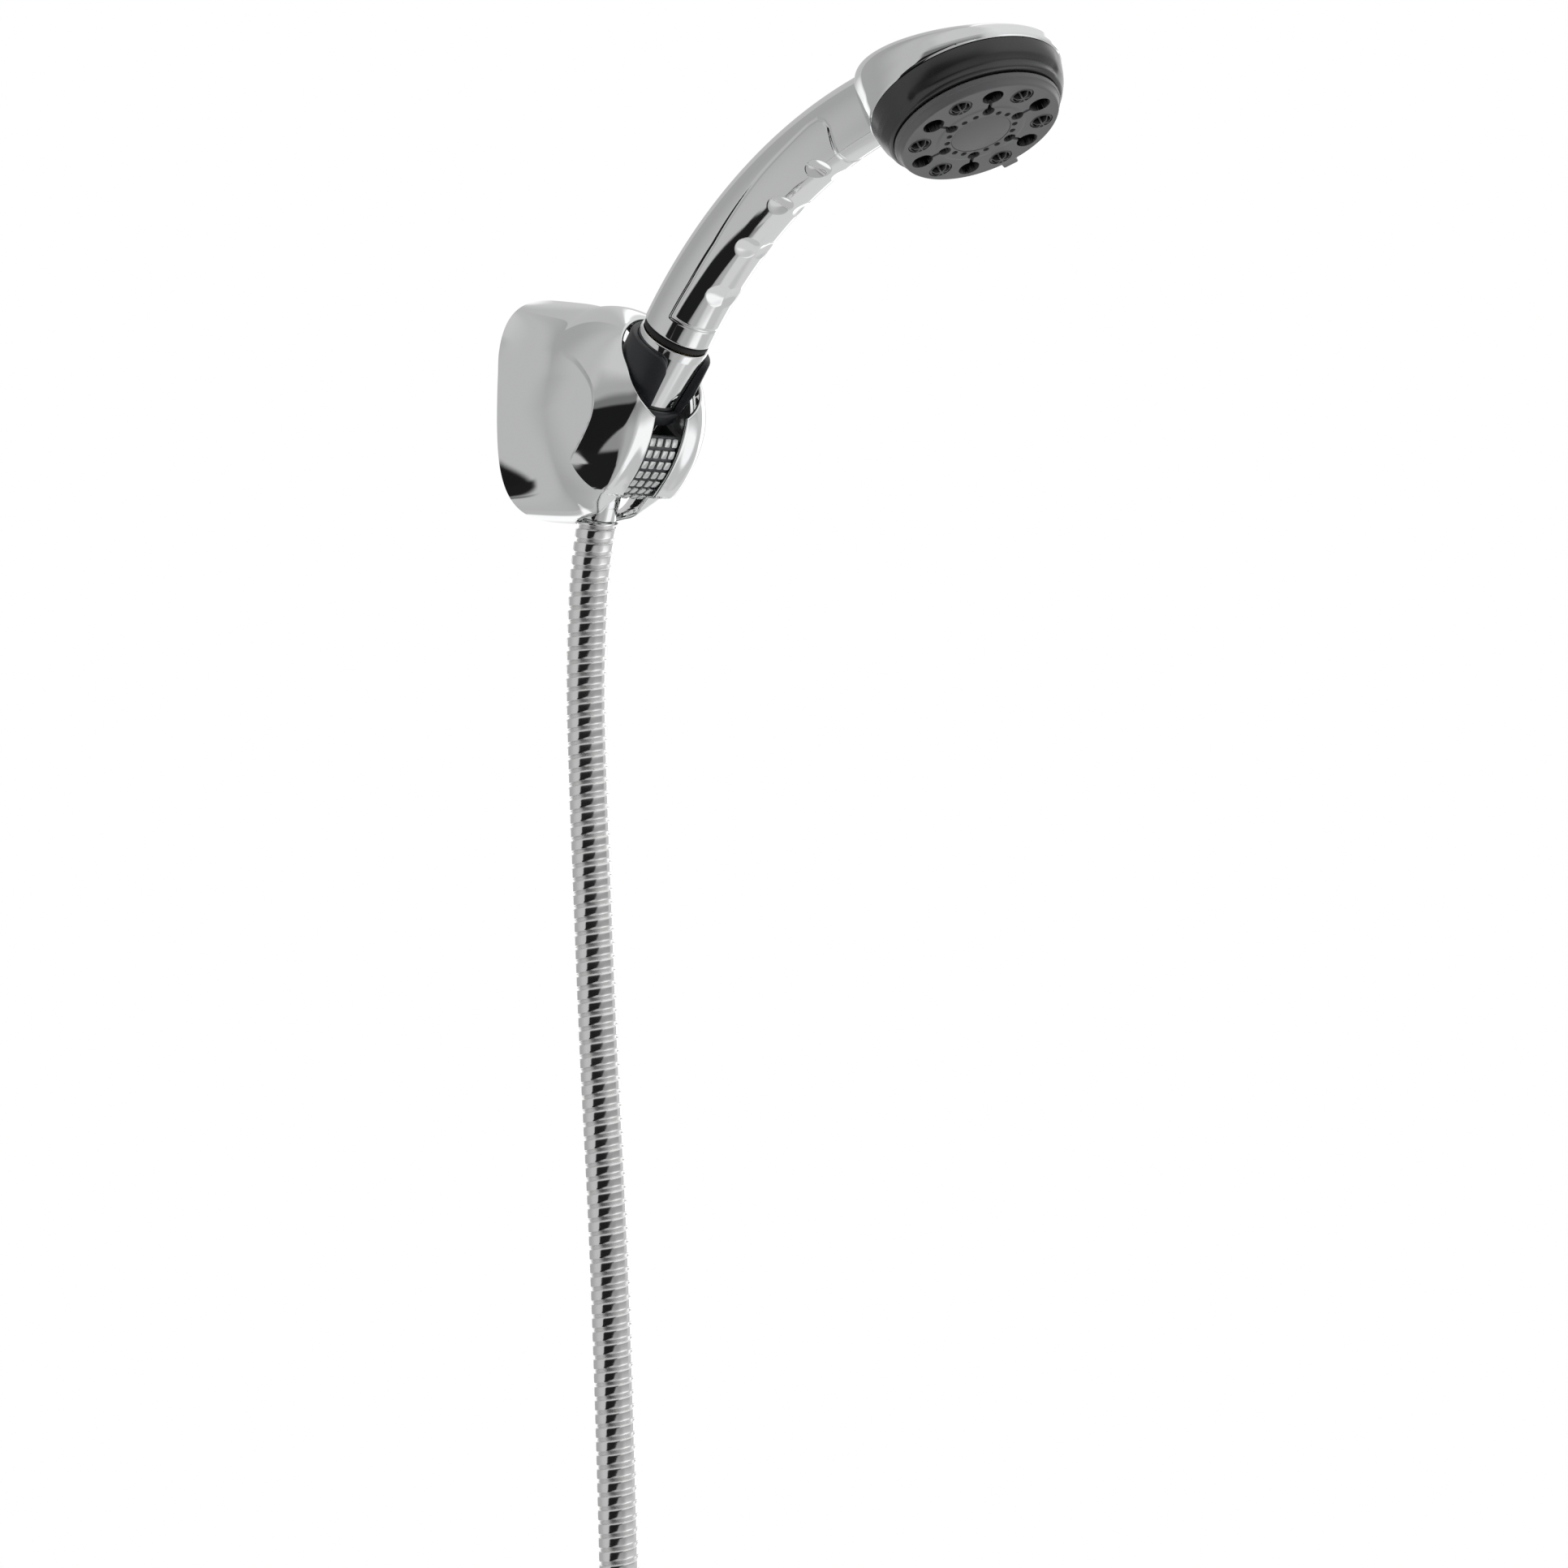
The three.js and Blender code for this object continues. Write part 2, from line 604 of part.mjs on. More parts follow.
function sprayFace() {
  const disc = turned([
    [0, 0.2], [20, 0], [25.2, 0.15], [26.1, 0.9], [26.6, 2.4], [FACE_RADIUS, 3.9], [0, 3.9],
  ], 32);
  const lip = block([25, TAB.reach], [-TAB.halfWidth, TAB.halfWidth], [0.9, 3.6]);
  lip.rotateZ(THREE.MathUtils.degToRad(TAB.degrees));
  const tools = [rod(10, -1, 1.55, 20), rod(4.6, 1, 5, 12)];
  for (let hole = 0; hole < NOZZLE_COUNT; hole += 1) {
    tools.push(atAngle(rod(3.3, -1, 5, 10), NOZZLE_RING, 60 * hole));
    tools.push(atAngle(rod(3.9, -1, 5, 10), NOZZLE_RING, 60 * hole + 30));
    tools.push(atAngle(rod(1.7, -1, 5, 8), INNER_RING, 60 * hole));
  }
  return cut(join(disc, lip), ...tools);
}

function starNozzle() {
  const tip = turned([[0, -0.9], [1.6, -0.9], [3.5, 0.5], [3.5, 3.7], [0, 3.7]], 10);
  const openings = [];
  for (let leaf = 0; leaf < 3; leaf += 1) {
    openings.push(atAngle(rod(0.75, -2, 5, 5), 1.7, 120 * leaf + 30));
  }
  return cut(tip, ...openings);
}

piece(headFrame, 'bezel_ring', bezelRing(), blackPlastic());
piece(headFrame, 'engine_housing', engineHousing(), whitePlastic());
piece(headFrame, 'diverter_disc', diverterDisc(), whitePlastic());
piece(headFrame, 'diverter_seal', turned([
  [24.15, 6.4], [25.6, 6.4], [25.6, 7.8], [24.15, 7.8],
], 22), rubber());
piece(headFrame, 'massage_turbine', massageTurbine(), whitePlastic());
piece(headFrame, 'face_screw', turned([
  [0, 2.3], [1.3, 2.3], [1.3, 1.9], [4, 1.9], [4, 3.6], [1.8, 3.6], [1.8, 18], [0, 18],
], 12), steel());
const plunger = rod(1.45, DETENT.plungerBottom, DETENT.plungerTop, 10);
piece(headFrame, 'detent_plunger', atAngle(plunger, DETENT.ring, 0), steel());
const detentSpring = coilSpring(1.1, 0.25, 8.95, DETENT.springTop, 4);
piece(headFrame, 'detent_spring', atAngle(detentSpring, DETENT.ring, 0), steel());
piece(headFrame, 'spray_face', sprayFace(), greyPlastic());
piece(headFrame, 'centre_cap', turned([[0, 0.05], [9.6, 0.05], [9.6, 1.2], [0, 1.2]], 20), greyPlastic());
for (let nozzle = 0; nozzle < NOZZLE_COUNT; nozzle += 1) {
  const tip = starNozzle().rotateZ((nozzle * Math.PI) / 3);
  piece(headFrame, `star_nozzle_${nozzle + 1}`, atAngle(tip, NOZZLE_RING, 60 * nozzle + 30), greyPlastic());
}

// ---------- hose ----------

// Smooth sleeve over the hose's first bend, below the nut: an arc that starts along the nut's axis.
const SLEEVE = { bend: 56, startHeight: -8, sweepDeg: 25, radius: 6.2, bore: 4.7 };

// A point at a height along the nut's axis, as seen from the side: depth from the wall, and height.
function onNutAxis(height) {
  return {
    depth: PIVOT.depth + NUT_OFFSET * Math.cos(NUT_TILT) + height * Math.sin(NUT_TILT),
    height: PIVOT.height - NUT_OFFSET * Math.sin(NUT_TILT) + height * Math.cos(NUT_TILT),
  };
}

function sleevePoint(share) {
  const start = onNutAxis(SLEEVE.startHeight);
  const lean = NUT_TILT - THREE.MathUtils.degToRad(SLEEVE.sweepDeg) * share;
  const depth = start.depth - SLEEVE.bend * (Math.cos(lean) - Math.cos(NUT_TILT));
  const height = start.height - SLEEVE.bend * (Math.sin(NUT_TILT) - Math.sin(lean));
  return new THREE.Vector3(0, -depth, height);
}

function hoseSleeve() {
  const points = [];
  for (let i = 0; i <= 8; i += 1) {
    points.push(sleevePoint(i / 8));
  }
  const section = new THREE.Shape().absarc(0, 0, SLEEVE.radius, 0, 2 * Math.PI);
  section.holes.push(new THREE.Path().absarc(0, 0, SLEEVE.bore, 0, 2 * Math.PI, true));
  return new THREE.ExtrudeGeometry(section, {
    steps: 5,
    curveSegments: 6,
    bevelEnabled: false,
    extrudePath: new THREE.CatmullRomCurve3(points),
  });
}

// The hanging stretch: depth from the wall and height, from the sleeve down to where the coil's bend starts.
const HOSE_ROUTE = [
  [13.9, -38.6],
  [12.7, -43.5],
  [11.1, -50.5],
  [9.6, -60],
  [8.5, -75],
  [7.8, -96],
  [8.8, -124],
  [11.2, -165],
  [14.8, -221],
  [19.2, -276],
  [22.5, -331],
  [25.1, -388],
  [25.5, -402],
];

// Below that the hose swings sideways on one bend and runs into a coil that hangs under it.
const COIL = { start: -402, depth: 26, bend: 80, pitch: 14.4, turns: 2, tail: 46.5, slack: 0.2 };
const COIL_BEND_ANGLE = Math.acos(1 - COIL_RADIUS / (COIL.bend + COIL_RADIUS));
const COIL_MIDDLE = COIL.start - (COIL.bend + COIL_RADIUS) * Math.sin(COIL_BEND_ANGLE);
const COIL_SWEEP = COIL_BEND_ANGLE + COIL.turns * 2 * Math.PI;
const COIL_END_DEPTH = COIL.depth + (COIL.pitch * COIL_SWEEP) / (2 * Math.PI);

function hoseTube() {
  const points = HOSE_ROUTE.map(([depth, height]) => new THREE.Vector3(0, -depth, height));
  const bendSteps = 5;
  const bendShare = 0.62;
  for (let i = 1; i <= bendSteps; i += 1) {
    const angle = (COIL_BEND_ANGLE * bendShare * i) / bendSteps;
    const x = -COIL.bend * (1 - Math.cos(angle));
    points.push(new THREE.Vector3(x, -COIL.depth, COIL.start - COIL.bend * Math.sin(angle)));
  }
  const section = new THREE.Shape().absarc(0, 0, HOSE_RADIUS, 0, 2 * Math.PI);
  return new THREE.ExtrudeGeometry(section, {
    steps: 26,
    curveSegments: HOSE_SIDES / 2,
    bevelEnabled: false,
    extrudePath: new THREE.CatmullRomCurve3(points),
  });
}

// The space that the wound turns fill: a flat ring that stands parallel to the wall.
function hoseCoil() {
  const reach = HOSE_RADIUS + COIL.slack;
  const near = COIL.depth - reach;
  const far = COIL_END_DEPTH + reach;
  const coil = ring(COIL_RADIUS + reach, COIL_RADIUS - reach, near, far, 30);
  return coil.rotateX(Math.PI / 2).translate(0, 0, COIL_MIDDLE);
}

function hoseTie() {
  const reach = HOSE_RADIUS + COIL.slack + 0.5;
  const [near, far] = [COIL.depth - reach, COIL_END_DEPTH + reach];
  const [thick, halfHeight] = [1.4, 4];
  const outer = block(
    [COIL_RADIUS - reach - thick, COIL_RADIUS + reach + thick],
    [-far - thick, -near + thick],
    [COIL_MIDDLE - halfHeight, COIL_MIDDLE + halfHeight],
  );
  const inner = block(
    [COIL_RADIUS - reach, COIL_RADIUS + reach],
    [-far, -near],
    [COIL_MIDDLE - 2 * halfHeight, COIL_MIDDLE + 2 * halfHeight],
  );
  return cut(outer, inner);
}

piece(shower, 'hose_sleeve', hoseSleeve(), chrome());
piece(shower, 'hose_tube', hoseTube(), chrome());
piece(shower, 'hose_coil', hoseCoil(), chrome());
piece(shower, 'hose_tie', hoseTie(), blackPlastic());

// ---------- supply end of the hose ----------

// Heights below the coil's tail, downwards being negative.
const SUPPLY = { flats: 24, bore: 10.4, nutTop: -12, nutBottom: -32, fittingBottom: -28.5 };
const supplyFrame = frameIn(shower, [-COIL_RADIUS, -COIL_END_DEPTH, COIL_MIDDLE - COIL.tail]);

function supplyFitting() {
  const { fittingBottom, nutTop } = SUPPLY;
  return turned([
    [4.2, -GAP], [7.9, -GAP], [7.9, nutTop + 1.5], [6.8, nutTop + 0.4], [6.8, fittingBottom + 9],
    [10, fittingBottom + 9], [10, fittingBottom + 6], [4.2, fittingBottom + 6],
  ], 16);
}

function supplyNut() {
  const corner = SUPPLY.flats / 2 / Math.cos(Math.PI / 6);
  const hexagon = new THREE.CylinderGeometry(corner, corner, 12, 6).rotateX(Math.PI / 2);
  hexagon.translate(0, 0, SUPPLY.nutBottom + 6);
  const collar = cone(12, 9.6, SUPPLY.nutBottom + 11, SUPPLY.nutTop, 18);
  const threadTop = SUPPLY.fittingBottom + 9.4;
  return cut(
    join(hexagon, collar),
    rod(SUPPLY.bore, SUPPLY.nutBottom - 1, threadTop, 18),
    rod(7.2, threadTop - 1, SUPPLY.nutTop + 1, 16),
  );
}

piece(supplyFrame, 'supply_fitting', supplyFitting(), chrome());
piece(supplyFrame, 'supply_nut', supplyNut(), chrome());
const supplyWasherTop = SUPPLY.fittingBottom + 5.6;
piece(supplyFrame, 'supply_washer', ring(9.8, 5, supplyWasherTop - 2.2, supplyWasherTop, 16), rubber());

export default shower;
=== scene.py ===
import math

import bmesh
import bpy
import numpy as np
from mathutils import Matrix, Vector


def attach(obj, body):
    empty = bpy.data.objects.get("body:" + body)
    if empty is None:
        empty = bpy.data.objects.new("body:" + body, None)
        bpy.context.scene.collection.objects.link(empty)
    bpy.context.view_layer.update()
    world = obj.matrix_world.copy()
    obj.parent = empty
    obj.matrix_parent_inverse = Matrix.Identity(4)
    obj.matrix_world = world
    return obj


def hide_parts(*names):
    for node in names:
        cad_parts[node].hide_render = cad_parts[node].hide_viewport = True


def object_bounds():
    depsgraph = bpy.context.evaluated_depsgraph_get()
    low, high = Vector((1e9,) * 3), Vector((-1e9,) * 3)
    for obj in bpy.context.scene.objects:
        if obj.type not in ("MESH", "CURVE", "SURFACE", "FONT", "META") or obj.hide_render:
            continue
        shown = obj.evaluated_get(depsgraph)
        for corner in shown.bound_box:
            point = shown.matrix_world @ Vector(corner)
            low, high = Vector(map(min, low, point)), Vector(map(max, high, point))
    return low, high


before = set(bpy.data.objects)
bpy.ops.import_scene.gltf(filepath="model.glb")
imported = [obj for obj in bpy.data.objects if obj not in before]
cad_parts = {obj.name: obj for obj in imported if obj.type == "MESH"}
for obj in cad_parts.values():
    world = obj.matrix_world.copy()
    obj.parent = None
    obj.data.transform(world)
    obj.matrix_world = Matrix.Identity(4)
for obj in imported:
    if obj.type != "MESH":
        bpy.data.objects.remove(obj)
CAD_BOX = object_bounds()

# Lengths below are in millimetres in the frame's own axes, and become metres when a mesh is made.
MM = 0.001
TAU = 2 * math.pi

# ---------- driving dimensions, the same as or just inside the frame's ----------

COVER_WALL_HALF = (32.7, 38.2)
COVER_HALF = (28.7, 37.0)
COVER_NECK = 20.0
COVER_FRONT = 37.5
COVER_DROP = 2.0
SLOT_HALF = 6.9
PIVOT = np.array([0.0, -22.0, -3.0])
NUT_TILT = math.radians(38.9)
NUT_OFFSET = 10.3
TILT_CLEARANCE = (math.radians(-2.0), math.radians(8.5))
CLIP_OUTER = 14.5
CLIP_WAIST = 11.9
CLIP_BOTTOM = 12.0
CLIP_WAIST_TOP = 25.0
CLIP_TOP = 37.0
CLIP_MOUTH_BOTTOM = 17.0
CLIP_CORNER = 5.0
MOUTH_ANGLE = math.radians(33.5)
CLIP_GAP = 0.65
CLIP_GAP_BELOW = 0.8
NUT_GAP = 0.36
ARC_RADIUS = 180.6
HANDLE_SWEEP = math.radians(50)
HANDLE_RADII = (12.1, 11.2)
HEAD_RADIUS = 31.77
SHELL_BOTTOM = 14.35
SHELL_HEIGHT = 14.2
SHELL_SLOPE = 0.292
NOZZLE_RING = 20.1
INNER_RING = 12.45
HOSE_RADIUS = 7.0
COIL_RADIUS = 74.0

WORLD = Matrix.Identity(4)


def placed(parent, move, turn=0.0):
    """A frame inside another: moved, then turned about its X axis."""
    return parent @ Matrix.Translation(Vector(move)) @ Matrix.Rotation(turn, 4, "X")


CRADLE = placed(WORLD, PIVOT)
NUT = placed(placed(CRADLE, (0, 0, 0), NUT_TILT), (0, -NUT_OFFSET, 0))
HANDLE = placed(NUT, (0, 0, 44.1))
HEAD = placed(HANDLE, (0, -81.7, 126.9), math.radians(-66.15))


def into_world(points, local):
    """Rows of local points, moved into the row frame, in millimetres."""
    m = np.array(local)
    return np.asarray(points, float) @ m[:3, :3].T + m[:3, 3]


# ---------- mesh making ----------

def build(name, points, faces, local=WORLD, sharp=32.0, colours=(), body=None, slot=None, replaces=()):
    """A smooth-shaded mesh object from points in millimetres. Edges sharper than the angle stay crisp."""
    mesh = bpy.data.meshes.new(name)
    mesh.from_pydata((into_world(points, local) * MM).tolist(), [], faces)
    mesh.validate()
    edit = bmesh.new()
    edit.from_mesh(mesh)
    bmesh.ops.remove_doubles(edit, verts=edit.verts, dist=2e-7)
    bmesh.ops.dissolve_degenerate(edit, edges=edit.edges, dist=1e-8)
    bmesh.ops.recalc_face_normals(edit, faces=edit.faces)
    edit.to_mesh(mesh)
    edit.free()
    mesh.shade_smooth()
    mesh.set_sharp_from_angle(angle=math.radians(sharp))
    piece = bpy.data.objects.new(name, mesh)
    bpy.context.scene.collection.objects.link(piece)
    for material in colours:
        mesh.materials.append(material)
    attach(piece, body)
    if replaces:
        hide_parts(*replaces)
    return piece


def grid_faces(rows, columns, wrap_rows=False, wrap_columns=True):
    """Quads of a grid of points, numbered row by row."""
    faces = []
    for i in range(rows if wrap_rows else rows - 1):
        here, above = i * columns, (i + 1) % rows * columns
        for j in range(columns if wrap_columns else columns - 1):
            after = (j + 1) % columns
            faces.append((here + j, here + after, above + after, above + j))
    return faces


def end_faces(rows, columns):
    """The two flat ends of a grid that is wrapped round, as one face each."""
    last = (rows - 1) * columns
    return [tuple(range(columns)), tuple(reversed(range(last, last + columns)))]


def round_angles(count):
    return np.arange(count) * TAU / count


def circle_row(radius, turn, height):
    """A circle of points. Its radius and height may change round it."""
    return np.stack([radius * np.cos(turn), radius * np.sin(turn), height + 0 * turn], -1)


def distances_along(path):
    """How far along a path each of its points lies."""
    return np.concatenate([[0], np.cumsum(np.linalg.norm(np.diff(path, axis=0), axis=1))])


def read_off(values, along, wanted):
    """Rows of values, read off at other places along their path."""
    return np.stack([np.interp(wanted, along, values[:, k]) for k in range(values.shape[1])], -1)


def distance_to_line(points, line):
    """How far each point lies from a line of straight stretches."""
    nearest = np.full(points.shape[:-1], np.inf)
    for a, b in zip(line[:-1], line[1:]):
        share = np.clip(((points - a) @ (b - a)) / ((b - a) @ (b - a)), 0, 1)
        nearest = np.minimum(nearest, np.linalg.norm(points - a - share[..., None] * (b - a), axis=-1))
    return nearest


def rounded_profile(corners, steps=4):
    """A closed outline of (radius, height, rounding) with its corners turned into arcs."""
    out = []
    count = len(corners)
    for i, (x, y, rounding) in enumerate(corners):
        here = np.array([x, y])
        before = np.array(corners[i - 1][:2]) - here
        after = np.array(corners[(i + 1) % count][:2]) - here
        if rounding <= 0:
            out.append(here)
            continue
        before /= np.linalg.norm(before)
        after /= np.linalg.norm(after)
        half = math.acos(max(-1, min(1, float(before @ after)))) / 2
        reach = rounding / math.tan(half)
        centre = here + (before + after) / np.linalg.norm(before + after) * rounding / math.sin(half)
        first, last = here + before * reach - centre, here + after * reach - centre
        sweep = math.pi - 2 * half
        side = 1 if first[0] * last[1] - first[1] * last[0] > 0 else -1
        for k in range(steps + 1):
            angle = side * sweep * k / steps
            turn = np.array([[math.cos(angle), -math.sin(angle)], [math.sin(angle), math.cos(angle)]])
            out.append(centre + turn @ first)
    return np.array(out)


def turned(corners, around=96, steps=4):
    """Rows of points of a turned solid, from a closed outline of (radius, height, rounding)."""
    outline = rounded_profile(corners, steps)
    return circle_row(np.maximum(outline[:, :1], 0), round_angles(around), outline[:, 1:])


def build_rows(name, rows, local=WORLD, closed=True, ends=False, **look):
    """A mesh from rows of points. Closed joins the last row to the first, and ends are flat faces."""
    rows = np.array(rows)
    faces = grid_faces(*rows.shape[:2], wrap_rows=closed and not ends)
    if ends:
        faces += end_faces(*rows.shape[:2])
    return build(name, rows.reshape(-1, 3), faces, local, **look)


def smooth_curve(knots, spacing):
    """Points every so many millimetres along a smooth curve through the knots."""
    knots = np.asarray(knots, float)
    ends = np.vstack([2 * knots[0] - knots[1], knots, 2 * knots[-1] - knots[-2]])
    gaps = np.maximum(np.linalg.norm(np.diff(ends, axis=0), axis=1), 1e-9) ** 0.5
    times = np.concatenate([[0], np.cumsum(gaps)])
    dense = []
    for i in range(1, len(ends) - 2):
        t0, t1, t2, t3 = times[i - 1:i + 3]
        p0, p1, p2, p3 = ends[i - 1:i + 3]
        steps = max(2, int(np.linalg.norm(p2 - p1) / 0.4))
        t = (t1 + (t2 - t1) * np.arange(steps) / steps)[:, None]
        a1 = (t1 - t) / (t1 - t0) * p0 + (t - t0) / (t1 - t0) * p1
        a2 = (t2 - t) / (t2 - t1) * p1 + (t - t1) / (t2 - t1) * p2
        a3 = (t3 - t) / (t3 - t2) * p2 + (t - t2) / (t3 - t2) * p3
        b1 = (t2 - t) / (t2 - t0) * a1 + (t - t0) / (t2 - t0) * a2
        b2 = (t3 - t) / (t3 - t1) * a2 + (t - t1) / (t3 - t1) * a3
        dense.append((t2 - t) / (t2 - t1) * b1 + (t - t1) / (t2 - t1) * b2)
    dense = np.vstack([*dense, knots[-1:]])
    along = distances_along(dense)
    count = max(2, round(along[-1] / spacing) + 1)
    return read_off(dense, along, np.linspace(0, along[-1], count))


def carried_frames(path):
    """At each point of a path, two directions across it, turned as little as possible on the way."""
    direction = np.gradient(path, axis=0)
    direction /= np.linalg.norm(direction, axis=1)[:, None]
    side = np.array([1.0, 0, 0])
    sides = []
    for d in direction:
        side = side - d * (side @ d)
        side /= np.linalg.norm(side)
        sides.append(side)
    sides = np.array(sides)
    return sides, np.cross(direction, sides)


def smoothstep(value, low, high):
    share = np.clip((value - low) / (high - low), 0, 1)
    return share * share * (3 - 2 * share)


# ---------- camera ----------

camera_data = bpy.data.cameras.new("camera")
camera_data.lens = 93.17
camera_data.sensor_width = 36
camera_data.clip_end = 20
camera = bpy.data.objects.new("camera", camera_data)
camera.location = (-0.8777, -1.0932, -0.128)
camera.rotation_euler = (math.radians(90), 0, math.radians(-41.75))
bpy.context.scene.collection.objects.link(camera)
bpy.context.scene.camera = camera

# ---------- materials ----------

WANDER_SCALE = 90
SMOOTHEST = 0.01


def finish(name, colour, metallic, roughness, spread, grain=0.0, grain_size=0.2):
    """A procedural material: roughness wanders by the spread, and grain is a fine bump in millimetres."""
    material = bpy.data.materials.new(name)
    material.use_nodes = True
    nodes, links = material.node_tree.nodes, material.node_tree.links
    shader = nodes["Principled BSDF"]
    shader.inputs["Base Color"].default_value = (*colour, 1)
    shader.inputs["Metallic"].default_value = metallic
    shader.inputs["Roughness"].default_value = roughness
    place = nodes.new("ShaderNodeTexCoord")
    wander = nodes.new("ShaderNodeTexNoise")
    wander.inputs["Scale"].default_value = WANDER_SCALE
    wander.inputs["Detail"].default_value = 4
    spreading = nodes.new("ShaderNodeMapRange")
    spreading.inputs["From Min"].default_value = 0.3
    spreading.inputs["From Max"].default_value = 0.7
    spreading.inputs["To Min"].default_value = max(SMOOTHEST, roughness - spread)
    spreading.inputs["To Max"].default_value = roughness + spread
    links.new(place.outputs["Object"], wander.inputs["Vector"])
    links.new(wander.outputs["Fac"], spreading.inputs["Value"])
    links.new(spreading.outputs["Result"], shader.inputs["Roughness"])
    if grain:
        speckle = nodes.new("ShaderNodeTexNoise")
        speckle.inputs["Scale"].default_value = 1 / (grain_size * MM)
        speckle.inputs["Detail"].default_value = 3
        bump = nodes.new("ShaderNodeBump")
        bump.inputs["Strength"].default_value = 1.0
        bump.inputs["Distance"].default_value = grain * MM
        links.new(place.outputs["Object"], speckle.inputs["Vector"])
        links.new(speckle.outputs["Fac"], bump.inputs["Height"])
        links.new(bump.outputs["Normal"], shader.inputs["Normal"])
    return material


chrome = finish("chrome", (0.83, 0.835, 0.84), 1.0, 0.045, 0.012)
hose_chrome = finish("hose_chrome", (0.9, 0.9, 0.9), 1.0, 0.13, 0.02)
groove_steel = finish("groove_steel", (0.86, 0.86, 0.855), 1.0, 0.38, 0.06)
steel = finish("zinc_steel", (0.55, 0.56, 0.57), 1.0, 0.32, 0.08, 0.004, 0.3)
brass = finish("machined_brass", (0.72, 0.56, 0.28), 1.0, 0.28, 0.06)
clip_plastic = finish("clip_plastic", (0.024, 0.026, 0.030), 0.0, 0.42, 0.06, 0.006, 0.35)
bezel_plastic = finish("bezel_plastic", (0.08, 0.08, 0.082), 0.7, 0.28, 0.04, 0.003, 0.3)
face_plastic = finish("face_plastic", (0.17, 0.17, 0.175), 0.0, 0.38, 0.05, 0.004, 0.25)
# Near-black painted shade for the walls and floors of the spray openings, standing in for the shade inside
# them.
painted_recess_shade = finish("painted_recess_shade", (0.006, 0.0055, 0.0055), 0.0, 0.35, 0.05)
nozzle_plastic = finish("nozzle_plastic", (0.09, 0.09, 0.093), 0.0, 0.36, 0.05)
drum_plastic = finish("drum_plastic", (0.10, 0.105, 0.11), 0.2, 0.4, 0.06)
pad_plastic = finish("pad_plating", (0.62, 0.63, 0.63), 1.0, 0.22, 0.05)
white_plastic = finish("natural_plastic", (0.72, 0.71, 0.67), 0.0, 0.45, 0.08, 0.003, 0.3)
rubber = finish("rubber", (0.014, 0.014, 0.015), 0.0, 0.6, 0.1, 0.006, 0.25)
tie_plastic = finish("tie_plastic", (0.03, 0.03, 0.032), 0.0, 0.5, 0.08, 0.008, 0.4)

# ---------- hose ----------

SLEEVE_BEND = 56.0
SLEEVE_SWEEP = math.radians(25)
SLEEVE_HEIGHT = -8.0
HOSE_ROUTE = [
    (13.9, -38.6), (12.7, -43.5), (11.1, -50.5), (9.6, -60), (8.5, -75), (7.8, -96), (8.8, -124),
    (11.2, -165), (14.8, -221), (19.2, -276), (22.5, -331), (25.1, -388), (25.5, -402),
]
COIL_START = -402.0
COIL_DEPTH = 26.0
COIL_BEND = 80.0
COIL_PITCH = 14.4
COIL_TURNS = 2
COIL_TAIL = 46.5
COIL_BEND_ANGLE = math.acos(1 - COIL_RADIUS / (COIL_BEND + COIL_RADIUS))
COIL_MIDDLE = COIL_START - (COIL_BEND + COIL_RADIUS) * math.sin(COIL_BEND_ANGLE)
COIL_SWEEP = COIL_BEND_ANGLE + COIL_TURNS * TAU
COIL_END_DEPTH = COIL_DEPTH + COIL_PITCH * COIL_SWEEP / TAU
STRIP_PITCH = 4.65


def sleeve_point(share):
    """The sleeve's middle line, an arc that starts on the nut's axis and turns downwards."""
    start = into_world([[0, 0, SLEEVE_HEIGHT]], NUT)[0]
    lean = NUT_TILT - SLEEVE_SWEEP * share
    depth = -start[1] - SLEEVE_BEND * (math.cos(lean) - math.cos(NUT_TILT))
    height = start[2] - SLEEVE_BEND * (math.sin(NUT_TILT) - math.sin(lean))
    return np.array([0.0, -depth, height])


def hose_knots():
    """The hose's route: straight down by a list of places, then wound in a coil, then a short tail."""
    knots = [sleeve_point(1)]
    knots += [np.array([0, -depth, height]) for depth, height in HOSE_ROUTE]
    bend_steps = 7
    for i in range(1, bend_steps + 1):
        angle = COIL_BEND_ANGLE * i / bend_steps
        x, z = -COIL_BEND * (1 - math.cos(angle)), COIL_START - COIL_BEND * math.sin(angle)
        knots.append(np.array([x, -COIL_DEPTH, z]))
    ring_steps = 18 * COIL_TURNS + 3
    first = math.pi - COIL_BEND_ANGLE
    for i in range(1, ring_steps + 1):
        angle = COIL_SWEEP * i / ring_steps
        depth = COIL_DEPTH + COIL_PITCH * angle / TAU
        x, z = COIL_RADIUS * math.cos(first + angle), COIL_MIDDLE + COIL_RADIUS * math.sin(first + angle)
        knots.append(np.array([x, -depth, z]))
    for i in (1, 2, 3):
        knots.append(np.array([-COIL_RADIUS, -COIL_END_DEPTH, COIL_MIDDLE - COIL_TAIL * i / 3]))
    return knots


# The wound strip across one turn: how far along the turn, and its radius. Up to 0.24 it is the groove.
STRIP = [
    (0.0, 6.12), (0.04, 6.08), (0.12, 6.16), (0.2, 6.08), (0.24, 6.12), (0.245, 6.6), (0.27, 6.85),
    (0.33, 6.97), (0.42, HOSE_RADIUS), (0.82, HOSE_RADIUS), (0.92, 6.97), (0.975, 6.85), (0.998, 6.6),
]
GROOVE_ROWS = 5
HOSE_CORE = 5.75


